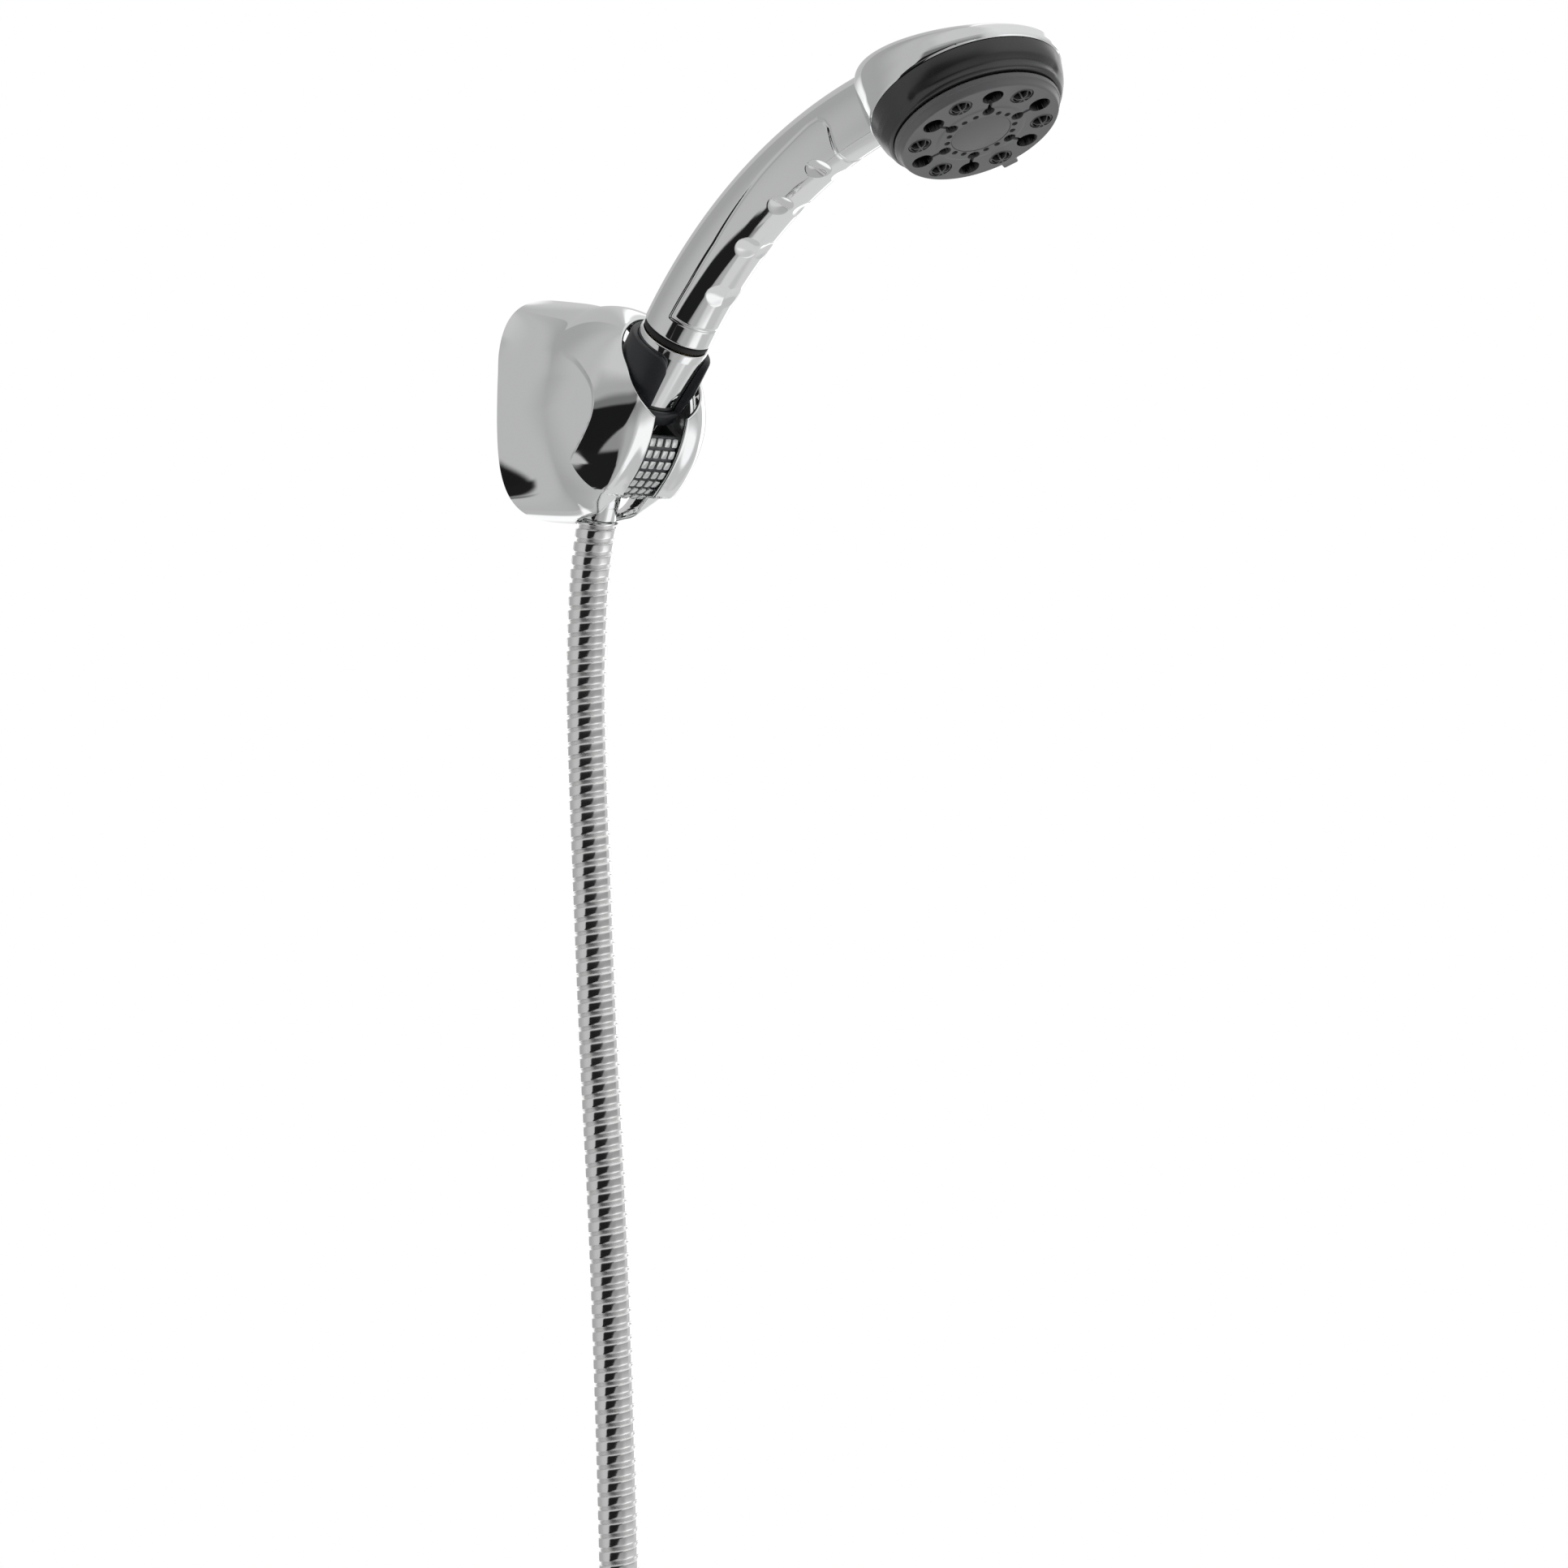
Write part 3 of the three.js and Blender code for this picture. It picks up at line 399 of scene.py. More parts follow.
def wound_hose(path, around=30):
    """Points, faces and which faces are groove, for a strip wound in a right-handed helix along the path."""
    along = distances_along(path)
    length = along[-1]
    side, other = carried_frames(path)
    turns = int(length / STRIP_PITCH) + 3
    rows = len(STRIP) * turns
    phase = np.array([k + share for k in range(-2, turns - 2) for share, _ in STRIP])
    radius = np.array([r for _ in range(turns) for _, r in STRIP])
    angle = round_angles(around)
    distance = STRIP_PITCH * (phase[:, None] + angle / TAU)
    outside = (distance <= 0) | (distance >= length)
    distance = np.clip(distance, 0, length)
    radius = np.where(outside, HOSE_CORE, radius[:, None])
    centre, across, up = (read_off(values, along, distance) for values in (path, side, other))
    points = centre + radius[..., None] * (np.cos(angle)[:, None] * across + np.sin(angle)[:, None] * up)
    faces, groove = [], []
    for i in range(rows - len(STRIP) - 1):
        for j in range(around):
            wrap = j == around - 1
            a, d = i * around + j, (i + 1) * around + j
            b = (i + len(STRIP)) * around if wrap else a + 1
            c = (i + 1 + len(STRIP)) * around if wrap else d + 1
            corners = (a, b, c, d)
            if all(outside[k // around, k % around] for k in corners):
                continue
            faces.append(corners)
            groove.append(i % len(STRIP) < GROOVE_ROWS - 1 or i % len(STRIP) == len(STRIP) - 1)
    return points.reshape(-1, 3), faces, groove


def make_hose(path):
    points, faces, groove = wound_hose(path)
    mesh = bpy.data.meshes.new("shower_hose")
    mesh.from_pydata((points * MM).tolist(), [], faces)
    mesh.materials.append(hose_chrome)
    mesh.materials.append(groove_steel)
    mesh.polygons.foreach_set("material_index", np.array(groove, np.int32))
    edit = bmesh.new()
    edit.from_mesh(mesh)
    bmesh.ops.delete(edit, geom=[v for v in edit.verts if not v.link_faces], context="VERTS")
    bmesh.ops.remove_doubles(edit, verts=edit.verts, dist=2e-7)
    bmesh.ops.holes_fill(edit, edges=[e for e in edit.edges if len(e.link_faces) == 1], sides=0)
    bmesh.ops.recalc_face_normals(edit, faces=edit.faces)
    edit.to_mesh(mesh)
    edit.free()
    mesh.shade_smooth()
    mesh.set_sharp_from_angle(angle=math.radians(50))
    hose = bpy.data.objects.new("shower_hose", mesh)
    bpy.context.scene.collection.objects.link(hose)
    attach(hose, "bracket")
    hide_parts("hose_tube", "hose_coil")
    return hose


hose_path = smooth_curve(hose_knots(), 1.0)
hose = make_hose(hose_path)

# ---------- bracket cover ----------

# The curved ridge on either cheek, seen from the side: depth and height. It has one sharp corner.
RIDGE_SIDE_VIEW = [
    (20.0, 25.0), (26.5, 17.7), (32.2, 14.4), (36.6, 10.4), (40.0, 5.6), (41.5, 0.0), (40.6, -5.7),
    (37.6, -11.2), (34.2, -15.4), (30.3, -19.4), (31.0, -22.3), (32.4, -25.8), (34.2, -28.7),
    (36.6, -31.2), (48.0, -38.0),
]
RIDGE_CORNER = 9
RIDGE_DEPTH = 1.65
RIDGE_REACH = 36
RIDGE_SWELL = 1.35
SWELL_REACH = 6.5
COVER_THICKNESS = 2.8
LIP_DEPTH = 1.3
LIP_ROUNDING = 0.75
LIP_STEPS = 5
MOUTH_HALF = 8.0
MOUTH_DEPTH = 14.4
MOUTH_FRONT = 26.0
NECK_SHARE = 0.3
SCAN_ENDS = (0.02, 0.98)


def cover_skin(reach, angle):
    """The cover's smooth outer skin: reach is 0 at the front and 1 at the wall, angle goes round it."""
    share = 1 - np.asarray(reach, float)
    swing = math.pi / 2 * np.maximum(0, (share - NECK_SHARE) / (1 - NECK_SHARE))
    neck = np.minimum(1, share / NECK_SHARE)
    depth = COVER_NECK * neck + COVER_FRONT * np.sin(swing)
    wall_share = np.clip(1 - np.minimum(depth, COVER_NECK) / COVER_NECK, 0, 1)
    half_width = COVER_HALF[0] + (COVER_WALL_HALF[0] - COVER_HALF[0]) * wall_share ** 2
    half_height = COVER_HALF[1] + (COVER_WALL_HALF[1] - COVER_HALF[1]) * wall_share ** 2
    middle = -COVER_DROP * (1 - wall_share ** 2)
    power = 2 / (2 + 1.4 * wall_share ** 1.5)
    shrink = np.cos(swing)
    cosine, sine = np.cos(angle), np.sin(angle)
    x = half_width * np.sign(cosine) * np.abs(cosine) ** power * shrink
    z = middle + half_height * np.sign(sine) * np.abs(sine) ** power * shrink
    recess = np.clip(2 - 0.148 * z, 0, 6) * (1 - smoothstep(np.abs(x), 6, 17)) * (1 - smoothstep(z, 0, 16))
    depth = depth - recess * smoothstep(np.sin(swing), 0, 0.5)
    return np.stack([x, -depth, z], -1)


def on_plane(u, v):
    """The skin over a flat plane whose middle is the front and whose unit circle is the wall."""
    return cover_skin(np.hypot(u, v), np.arctan2(v, u))


def cover_normal(u, v):
    """The direction straight out of the skin."""
    step = 2e-4
    along = on_plane(u + step, v) - on_plane(u - step, v)
    across = on_plane(u, v + step) - on_plane(u, v - step)
    normal = np.cross(across, along)
    normal /= np.linalg.norm(normal, axis=-1)[..., None]
    outward = on_plane(u, v) - np.array([0, -18.0, -2.0])
    return normal * np.sign((normal * outward).sum(-1))[..., None]


def smooth_ridge():
    """The ridge in the side view, smooth above and below its one sharp corner."""
    halves = []
    for some in (RIDGE_SIDE_VIEW[:RIDGE_CORNER + 1], RIDGE_SIDE_VIEW[RIDGE_CORNER:]):
        halves.append(smooth_curve(np.column_stack([some, np.zeros(len(some))]), 0.8)[:, :2])
    return np.vstack([halves[0], halves[1][1:]])


RIDGE_LINE = smooth_ridge()


def ridge_reach_at(angle):
    """How far out the skin crosses the ridge in the side view, for each angle round the cover."""
    scan = np.linspace(*SCAN_ENDS, 400)
    skin = cover_skin(scan[None, :], angle[:, None])
    edge_depth = np.interp(-skin[..., 2], -RIDGE_LINE[:, 1], RIDGE_LINE[:, 0])
    gap = -skin[..., 1] - edge_depth
    ahead = gap > 0
    last = np.where(ahead.any(1), gap.shape[1] - 1 - ahead[:, ::-1].argmax(1), 0)
    last = np.minimum(last, gap.shape[1] - 2)
    rows = np.arange(len(angle))
    first_gap, next_gap = gap[rows, last], gap[rows, last + 1]
    share = np.clip(first_gap / np.maximum(first_gap - next_gap, 1e-9), 0, 1)
    return scan[last] + share * (scan[1] - scan[0])


def ridge_drop(points):
    """How far the flange behind the curved ridge lies below the cheek, less the cheek's swell there."""
    side_view = np.stack([-points[..., 1], points[..., 2]], -1)
    nearest = distance_to_line(side_view, RIDGE_LINE)
    edge_depth = np.interp(-side_view[..., 1], -RIDGE_LINE[:, 1], RIDGE_LINE[:, 0])
    behind = side_view[..., 0] < edge_depth
    height = side_view[..., 1]
    strength = RIDGE_DEPTH * (1 - smoothstep(height, 9, 19)) * smoothstep(height, -41, -34)
    width = 1.6 + 0.8 * smoothstep(-height, 17, 26)
    bevel = 1 - (1 - np.clip(nearest / width, 0, 1)) ** 1.2
    drop = strength * bevel * (1 - smoothstep(nearest, 0, RIDGE_REACH))
    swell = RIDGE_SWELL * np.exp(-nearest / SWELL_REACH)
    swell *= (1 - smoothstep(height, -10, 10)) * smoothstep(height, -36, -25)
    across = smoothstep(np.abs(points[..., 0]), 9.5, 15)
    return np.where(behind, drop - swell * (1 - bevel), -swell * across)


def clip_outside(height):
    """The radius of the clip's outside, which is tapered below and straight above."""
    return np.interp(height, [CLIP_BOTTOM, CLIP_WAIST_TOP], [CLIP_WAIST, CLIP_OUTER])


def cut_away(points):
    """Where the notch for the clip, the slot and the hose's mouth open the cover."""
    x, depth, z = points[..., 0], -points[..., 1], points[..., 2]
    gone = (np.abs(x) < SLOT_HALF) & (z < 8) & (depth > MOUTH_DEPTH)
    gone |= (np.abs(x) < MOUTH_HALF) & (z < -20) & (depth > MOUTH_DEPTH) & (depth < MOUTH_FRONT)
    gone |= (np.hypot(x, depth - MOUTH_DEPTH) < MOUTH_HALF) & (z < -20)
    for turn in np.linspace(*TILT_CLEARANCE, 11):
        tilted = placed(placed(CRADLE, (0, 0, 0), NUT_TILT + turn), (0, -NUT_OFFSET, 0))
        local = into_world(points, tilted.inverted())
        room = clip_outside(local[..., 2]) + CLIP_GAP
        near_clip = np.hypot(local[..., 0], local[..., 1]) < room
        gone |= near_clip & (local[..., 2] > CLIP_BOTTOM - CLIP_GAP_BELOW)
    return gone


def cover_opening(count=900):
    """The left half of the opening's edge, from its top to its bottom, as angles and reaches."""
    angles = np.linspace(math.pi / 2, 1.5 * math.pi, count)
    scan = np.linspace(*SCAN_ENDS, 240)
    inside = cut_away(cover_skin(scan[None, :], angles[:, None]))
    last = np.where(inside.any(1), inside.shape[1] - 1 - inside[:, ::-1].argmax(1), 0)
    low, high = scan[last], scan[np.minimum(last + 1, len(scan) - 1)]
    for _ in range(18):
        middle = (low + high) / 2
        still = cut_away(cover_skin(middle, angles))
        low, high = np.where(still, middle, low), np.where(still, high, middle)
    return angles, high


def cover_plan(samples=300):
    """The cover's left half on the flat plane: rows from the opening by way of the ridge to the wall."""
    angles, reaches = cover_opening()
    edge = cover_skin(reaches, angles)
    along = distances_along(edge)
    slot_part = angles > math.radians(200)
    corner, touch = np.interp([19.4, 31.6], -edge[slot_part, 2], along[slot_part])
    at_119, at_149, at_172, at_262 = np.interp(np.radians([119, 149, 172, 262]), angles, along)
    knots = [0, at_119, at_149, at_172, corner, touch, at_262, along[-1]]
    ridge_angles = [90, 122, 157, 181, 209.3, 246, 262, 270]
    wall_angles = [90, 121, 153, 182, 213, 242, 260, 270]
    place = np.linspace(0, along[-1], samples)
    place[np.abs(place - corner).argmin()] = corner
    inner_angle = np.interp(place, along, angles)
    inner_reach = np.interp(place, along, reaches)
    ridge_angle = np.radians(np.interp(place, knots, ridge_angles))
    wall_angle = np.radians(np.interp(place, knots, wall_angles))
    ridge_reach = ridge_reach_at(ridge_angle)
    inner = np.stack([inner_reach * np.cos(inner_angle), inner_reach * np.sin(inner_angle)], -1)
    middle = np.stack([ridge_reach * np.cos(ridge_angle), ridge_reach * np.sin(ridge_angle)], -1)
    outer = np.stack([np.cos(wall_angle), np.sin(wall_angle)], -1)
    past = smoothstep(place, touch - 3, touch)[:, None]
    close = inner + (outer - inner) * 0.04
    middle = middle * (1 - past) + close * past
    first = np.linspace(0, 1, 34) ** 1.25
    second = np.linspace(0, 1, 58)[1:] ** 1.5
    to_ridge = [inner + (middle - inner) * share for share in first]
    to_wall = [middle + (outer - middle) * share for share in second]
    return np.array(to_ridge + to_wall)


def make_cover():
    flat = cover_plan()
    u, v = flat[..., 0], flat[..., 1]
    normal = cover_normal(u, v)
    skin = on_plane(u, v)
    skin = skin - normal * ridge_drop(skin)[..., None]
    rim, rim_normal = skin[0], normal[0]
    run = np.gradient(rim, axis=0)
    run /= np.linalg.norm(run, axis=1)[:, None]
    into_hole = np.cross(rim_normal, run)
    into_hole *= np.sign((into_hole * (rim - skin[4])).sum(1))[:, None]
    into_hole[[0, -1], 0] = 0
    inward = -rim_normal * np.array([0, 1, 1])
    inward /= np.linalg.norm(inward, axis=1)[:, None]
    start = rim - into_hole * LIP_ROUNDING - rim_normal * LIP_ROUNDING
    lip = [rim + inward * LIP_DEPTH]
    for step in range(LIP_STEPS, -1, -1):
        turn = math.pi / 2 * step / LIP_STEPS
        lip.append(start + LIP_ROUNDING * (rim_normal * math.cos(turn) + into_hole * math.sin(turn)))
    inside = []
    for k in range(len(flat) - 1, 6, -6):
        point = on_plane(u[k], v[k]) - normal[k] * COVER_THICKNESS
        point[:, 1] = np.minimum(point[:, 1], 0)
        if k == len(flat) - 1:
            point[:, 1] = 0
        inside.append(point)
    rows = np.array(lip + list(skin[3:]) + inside)
    rows[:, [0, -1], 0] = 0
    points = rows.reshape(-1, 3)
    faces = grid_faces(*rows.shape[:2], wrap_rows=True, wrap_columns=False)
    mirrored = points * np.array([-1, 1, 1])
    other = [tuple(reversed([k + len(points) for k in face])) for face in faces]
    build("wall_bracket_cover", np.concatenate([points, mirrored]), faces + other, sharp=28,
          colours=[chrome], body="bracket", slot="chrome_plate", replaces=["bracket_cover"])


make_cover()

# ---------- cradle ----------

DRUM_RADIUS = 29.4
DRUM_HALF = 6.4
DRUM_ARC = (math.radians(-74), math.radians(-17))
BAND_TOP = DRUM_RADIUS - 0.95
BAND_BOTTOM = DRUM_RADIUS - 3.6
PAD_COLUMNS = (-4.85, -1.75, 1.75, 4.85)
PAD_ROWS = 7
PAD_FIRST = -21.0
PAD_PITCH = 8.3
PAD_POINTS = 20
CHEEK_SPAN = (10.2, 12.8)


def arc_points(radius, low, high, count):
    angles = np.linspace(math.radians(low), math.radians(high), count)
    return [(radius * math.cos(angle), radius * math.sin(angle)) for angle in angles]


def make_band():
    """The curved band that closes the front slot, with rounded edges."""
    angles = np.linspace(*DRUM_ARC, 60)
    outline = [(BAND_TOP, -1, a) for a in angles] + [(BAND_BOTTOM, 1, a) for a in angles[::-1]]
    edges = ((0, 0.5), (0.15, 0.15), (0.5, 0))
    levels = [(along - DRUM_HALF, inset) for along, inset in edges]
    levels += [(DRUM_HALF - along, inset) for along, inset in edges[::-1]]
    rows = []
    for x, inset in levels:
        reaches = [(radius + inwards * inset, angle) for radius, inwards, angle in outline]
        rows.append([(x, -reach * math.cos(angle), reach * math.sin(angle)) for reach, angle in reaches])
    build_rows("cradle_drum_band", rows, CRADLE, ends=True, sharp=40, colours=[drum_plastic],
               body="cradle", slot="grey_plastic", replaces=["cradle_drum"])


def make_cheek(name, side):
    """The flat plate beside the drum that carries a pivot."""
    arc = arc_points(25.8, -70, -22, 24) + arc_points(8, 50, 215, 20)
    rows = [[(side * x, -y, z) for y, z in arc] for x in CHEEK_SPAN]
    build_rows(name, rows, CRADLE, ends=True, sharp=30, colours=[drum_plastic],
               body="cradle", slot="grey_plastic")


def pad_shape(column, middle, half_wide=1.25, half_long=1.6, top=DRUM_RADIUS - 0.02, power=0.42):
    """One raised pad with rounded edges, on the drum's curve."""
    points = []
    for height, grow in ((-1.2, 0.0), (-0.35, 0.0), (-0.1, -0.12), (0.0, -0.34)):
        wide, long_ = half_wide + grow, half_long + grow
        for turn in round_angles(PAD_POINTS):
            c, s = math.cos(turn), math.sin(turn)
            x = column + wide * math.copysign(abs(c) ** power, c)
            along = long_ * math.copysign(abs(s) ** power, s)
            radius = top + height
            angle = middle + along / DRUM_RADIUS
            points.append((x, -radius * math.cos(angle), radius * math.sin(angle)))
    return np.array(points), grid_faces(4, PAD_POINTS) + end_faces(4, PAD_POINTS)


def make_pads():
    points, faces = [], []
    for column in PAD_COLUMNS:
        for row in range(PAD_ROWS):
            pad_points, pad_faces = pad_shape(column, math.radians(PAD_FIRST - PAD_PITCH * row))
            faces += [tuple(k + len(points) for k in face) for face in pad_faces]
            points += list(pad_points)
    build("cradle_drum_pads", points, faces, CRADLE, sharp=35, colours=[pad_plastic],
          body="cradle", slot="grey_plastic")


make_band()
make_pads()
make_cheek("cradle_drum_cheek_left", -1)
make_cheek("cradle_drum_cheek_right", 1)


def nut_radius(height):
    """The cone nut's radius, which grows from its lower end at -5 to its upper end at 40."""
    return 8.6 + 3.6 * (height + 5) / 45


def clip_top(angle):
    """The height of the clip's upper edge, which drops at the mouth in front with a rounded corner."""
    away = abs((angle - 1.5 * math.pi + math.pi) % TAU - math.pi)
    past = (away - MOUTH_ANGLE) * CLIP_OUTER
    if past <= 0:
        return CLIP_MOUTH_BOTTOM
    if past < CLIP_CORNER:
        return CLIP_TOP - CLIP_CORNER + math.sqrt(max(CLIP_CORNER ** 2 - (CLIP_CORNER - past) ** 2, 0))
    return CLIP_TOP


def make_clip(steps=160):
    """The split ring that grips the nut: a closed ring below, two arms above with the mouth to the front."""
    rows = [clip_section(angle, clip_top(angle)) for angle in np.linspace(0, TAU, steps, endpoint=False)]
    build_rows("nut_clip", rows, NUT, sharp=38, colours=[clip_plastic],
               body="cradle", slot="black_plastic", replaces=["cradle_clip"])


def clip_section(angle, top, bottom=CLIP_BOTTOM, rounding=0.8):
    """One rounded section of the clip's wall at an angle round the nut."""
    low, high = nut_radius(bottom) + NUT_GAP, nut_radius(top) + NUT_GAP
    bend = min(CLIP_WAIST_TOP, top - 1.5)
    outline = rounded_profile([
        (low, bottom, 0.2), (CLIP_WAIST, bottom, 0.5), (float(clip_outside(bend)), bend, 1.0),
        (float(clip_outside(top)), top, rounding), (high, top, 0.35)], 5)
    return [(r * math.cos(angle), r * math.sin(angle), z) for r, z in outline]


make_clip()

cone = turned([
    (7, -5, 0.2), (8.6, -5, 0.5), (12.2, 37, 1.2), (12.2, 40, 0.5), (10.6, 40, 0.3), (10.6, 20.65, 0),
    (7, 20.65, 0)], 128, 6)
build_rows("hose_cone_nut", cone, NUT, sharp=40, colours=[chrome],
           body="cradle", slot="chrome_plate", replaces=["hose_nut"])
ring = turned([(8.95, 40.35, 0.2), (11.6, 40.35, 0.6), (11.6, 42.45, 0.6), (8.95, 42.45, 0.2)])
build_rows("handle_gasket", ring, NUT, sharp=40, colours=[rubber],
           body="handset", slot="rubber", replaces=["gasket_ring"])

# ---------- sleeve below the nut ----------

def make_sleeve(around=64):
    """The bent sleeve over the hose's end, with two fine grooves near its lower end."""
    path = np.array([sleeve_point(share) for share in np.linspace(0, 1, 26)])
    side, other = carried_frames(path)
    along = distances_along(path)
    total = along[-1]
    outline = [(0, 4.8), (0, 6.0), (0.25, 6.2), (total * 0.5, 6.2)]
    for ring in (0.62, 0.76):
        start = total * ring
        outline += [(start, 6.2), (start + 0.12, 6.02), (start + 0.5, 6.02), (start + 0.62, 6.2)]
    outline += [(total - 0.9, 6.2), (total - 0.3, 6.05), (total, 5.6), (total, 4.8)]
    angle = round_angles(around)
    rows = []
    for distance, radius in outline:
        centre, across, up = (read_off(values, along, distance) for values in (path, side, other))
        rows.append(centre + radius * (np.cos(angle)[:, None] * across + np.sin(angle)[:, None] * up))
    build_rows("hose_bend_sleeve", rows, sharp=35, colours=[chrome],
               body="bracket", slot="chrome_plate", replaces=["hose_sleeve"])


make_sleeve()

# ---------- handset: handle and the head's back ----------

HANDLE_FOOT = 0.0072
HANDLE_START = -1.3
HANDLE_END = 157.6
HANDLE_COLUMNS = 360
WALL = 2.55


def handle_point(along, angle, inset=0.0):
    """A point on the handle, by millimetres along its arc and the angle round it. Inset goes inwards."""
    turn = np.asarray(along, float) / ARC_RADIUS
    share = np.clip((turn + HANDLE_FOOT) / (HANDLE_SWEEP + HANDLE_FOOT), 0, 1)
    radius = HANDLE_RADII[0] + (HANDLE_RADII[1] - HANDLE_RADII[0]) * share - inset
    across, out = radius * np.cos(angle), radius * np.sin(angle)
    depth = -ARC_RADIUS * (1 - np.cos(turn)) + out * np.cos(turn)
    height = ARC_RADIUS * np.sin(turn) + out * np.sin(turn)
    return np.stack([across + 0 * turn, depth, height], -1)


# The head's back from its rim to its middle: shares of its radius and of its height.
SHELL_KNOTS = np.array([
    [0.985, 0], [1, 0.25], [1, 0.55], [0.985, 0.78], [0.93, 0.95], [0.8, 1.08], [0.6, 1.17], [0.35, 1.22],
    [0, 1.24]])


def shell_outline(samples=60):
    """A smooth curve through the shell's profile, as radial share and climb."""
    knots = np.column_stack([SHELL_KNOTS, np.zeros(len(SHELL_KNOTS))]) * [HEAD_RADIUS, SHELL_HEIGHT, 1]
    curve = smooth_curve(knots, 0.5)[:, :2] / [HEAD_RADIUS, SHELL_HEIGHT]
    along = np.linspace(0, len(curve) - 1, samples)
    return np.minimum(read_off(curve, np.arange(len(curve)), along), [1.0, np.inf])


SHELL = shell_outline()


def in_shell(points_in_head, margin):
    """Which points lie inside the head's back, by at least the margin."""
    x, y, z = points_in_head[..., 0], points_in_head[..., 1], points_in_head[..., 2]
    climb = (z - SHELL_BOTTOM) / (SHELL_HEIGHT + SHELL_SLOPE * y)
    widest = np.interp(climb, SHELL[:, 1], SHELL[:, 0], left=SHELL_KNOTS[0, 0], right=0)
    return (climb > 0) & (climb < SHELL_KNOTS[-1, 1]) & (np.hypot(x, y) < HEAD_RADIUS * widest - margin)


# The grip panel's outline and the four finger marks: millimetres along the handle and degrees round it.
SEAM = np.array([
    (6.7, 205), (20.9, 205.3), (38.7, 201.6), (54, 193.5), (69.3, 185.6), (84.9, 179.5), (95.8, 173.3),
    (100.5, 173.8), (103.2, 183), (104.2, 196.7)])
SEAM_BOTTOM = np.array([(6.7, 205.0), (6.7, 270.0)])
SEAM_TOP = np.array([(104.2, 196.7), (103.2, 210.6), (100.0, 240.0), (98.5, 270.0)])
SEAM_DEPTH = 0.4
FINGER_MARKS = [(89.1, 242.6), (66.9, 245.9), (44.8, 251.2), (22.1, 256.8)]
MARK_RADIUS = 4.5
MARK_DEPTH = 0.95
MEAN_RADIUS = 11.7


def flat_handle(along, degrees):
    """The handle unrolled: millimetres along it and millimetres round from the middle of its front."""
    across = (270 - np.asarray(degrees, float)) * math.pi / 180 * MEAN_RADIUS
    return np.stack([np.asarray(along, float), across], -1)


def handle_inset(along, angle):
    """How far the handle's skin is sunk, at the panel's seam and the finger marks."""
    degrees = np.degrees(angle) % 360
    mirrored = np.where(degrees > 270, 540 - degrees, degrees)
    mirrored = np.where(degrees < 90, 180 - degrees, mirrored)
    here = flat_handle(along, mirrored)
    seams = [flat_handle(*line.T) for line in (SEAM, SEAM_BOTTOM, SEAM_TOP)]
    near = np.min([distance_to_line(here, seam) for seam in seams], axis=0)
    sunk = SEAM_DEPTH * (1 - smoothstep(near, 0.1, 0.85))
    for mark in FINGER_MARKS:
        middle = flat_handle(*mark)
        gap = np.hypot(here[..., 0] - middle[0], here[..., 1] - middle[1])
        sunk = np.maximum(sunk, MARK_DEPTH * np.clip(1 - (gap / MARK_RADIUS) ** 2, 0, 1) ** 1.15)
    return sunk


def handle_ends(angles):
    """How far along the handle each of its lines runs before it meets the head."""
    scan = np.linspace(60, HANDLE_END, 500)
    ends = []
    for angle in angles:
        inside = in_shell(into_world(handle_point(scan, angle), HEAD.inverted() @ HANDLE), 0.35)
        ends.append(scan[inside.argmax()] if inside.any() else HANDLE_END)
    return np.array(ends)


def make_handle():
    """The curved handle, hollow at its lower end, with its upper end inside the head."""
    angles = np.linspace(0, TAU, HANDLE_COLUMNS, endpoint=False)
    ends = handle_ends(angles)
    rows = []
    for share in np.linspace(1, 0, 20):
        rows.append(handle_point(np.full(HANDLE_COLUMNS, HANDLE_START + 110 * share), angles, WALL))
    for inset, rise in ((WALL, 0), (0.6, 0), (0.25, 0.1), (0.05, 0.3)):
        rows.append(handle_point(np.full(HANDLE_COLUMNS, HANDLE_START + rise), angles, inset))
    for share in np.linspace(0, 1, 420)[2:]:
        along = HANDLE_START + (ends - HANDLE_START) * share
        rows.append(handle_point(along, angles, handle_inset(along, angles)))
    build_rows("handset_handle", rows, HANDLE, closed=False, sharp=50, colours=[chrome],
               body="handset", slot="chrome_plate", replaces=["handset_body", "grip_panel"])


def make_shell(around=180):
    """The head's back, a hollow shell that is higher on the side away from the handle."""
    turn = round_angles(around)
    outer, inner = [], []
    for radial, climb in SHELL[:-1]:
        radius = HEAD_RADIUS * radial
        rise = climb * (SHELL_HEIGHT + SHELL_SLOPE * radius * np.sin(turn))
        outer.append(circle_row(radius, turn, SHELL_BOTTOM + rise))
    for radial, climb in SHELL[:-1:4]:
        radius = (HEAD_RADIUS - 2.3) * radial
        rise = climb * (SHELL_HEIGHT - 1.4 + SHELL_SLOPE * radius * np.sin(turn)) - (0.9 if climb > 0 else 0)
        inner.append(circle_row(radius, turn, SHELL_BOTTOM + rise))
    rim = outer[0].copy()
    rim[:, :2] *= 0.988
    outer[0][:, 2] += 0.35
    build_rows("handset_head_shell", inner[::-1] + [rim] + outer, HEAD, ends=True, sharp=42,
               colours=[chrome], body="handset", slot="chrome_plate")


make_handle()
make_shell()

# ---------- spray head ----------

BEZEL_WIDEST = 31.15
BEZEL_BORE = 26.8
BEZEL_PROFILE = np.array([
    (27.3, 4.55), (28.15, 4.85), (28.6, 5.6), (28.55, 6.5), (28.7, 7.3), (29.35, 8.2), (30.1, 9.4),
    (30.65, 11.0), (30.9, 12.5), (31.0, 13.96)])


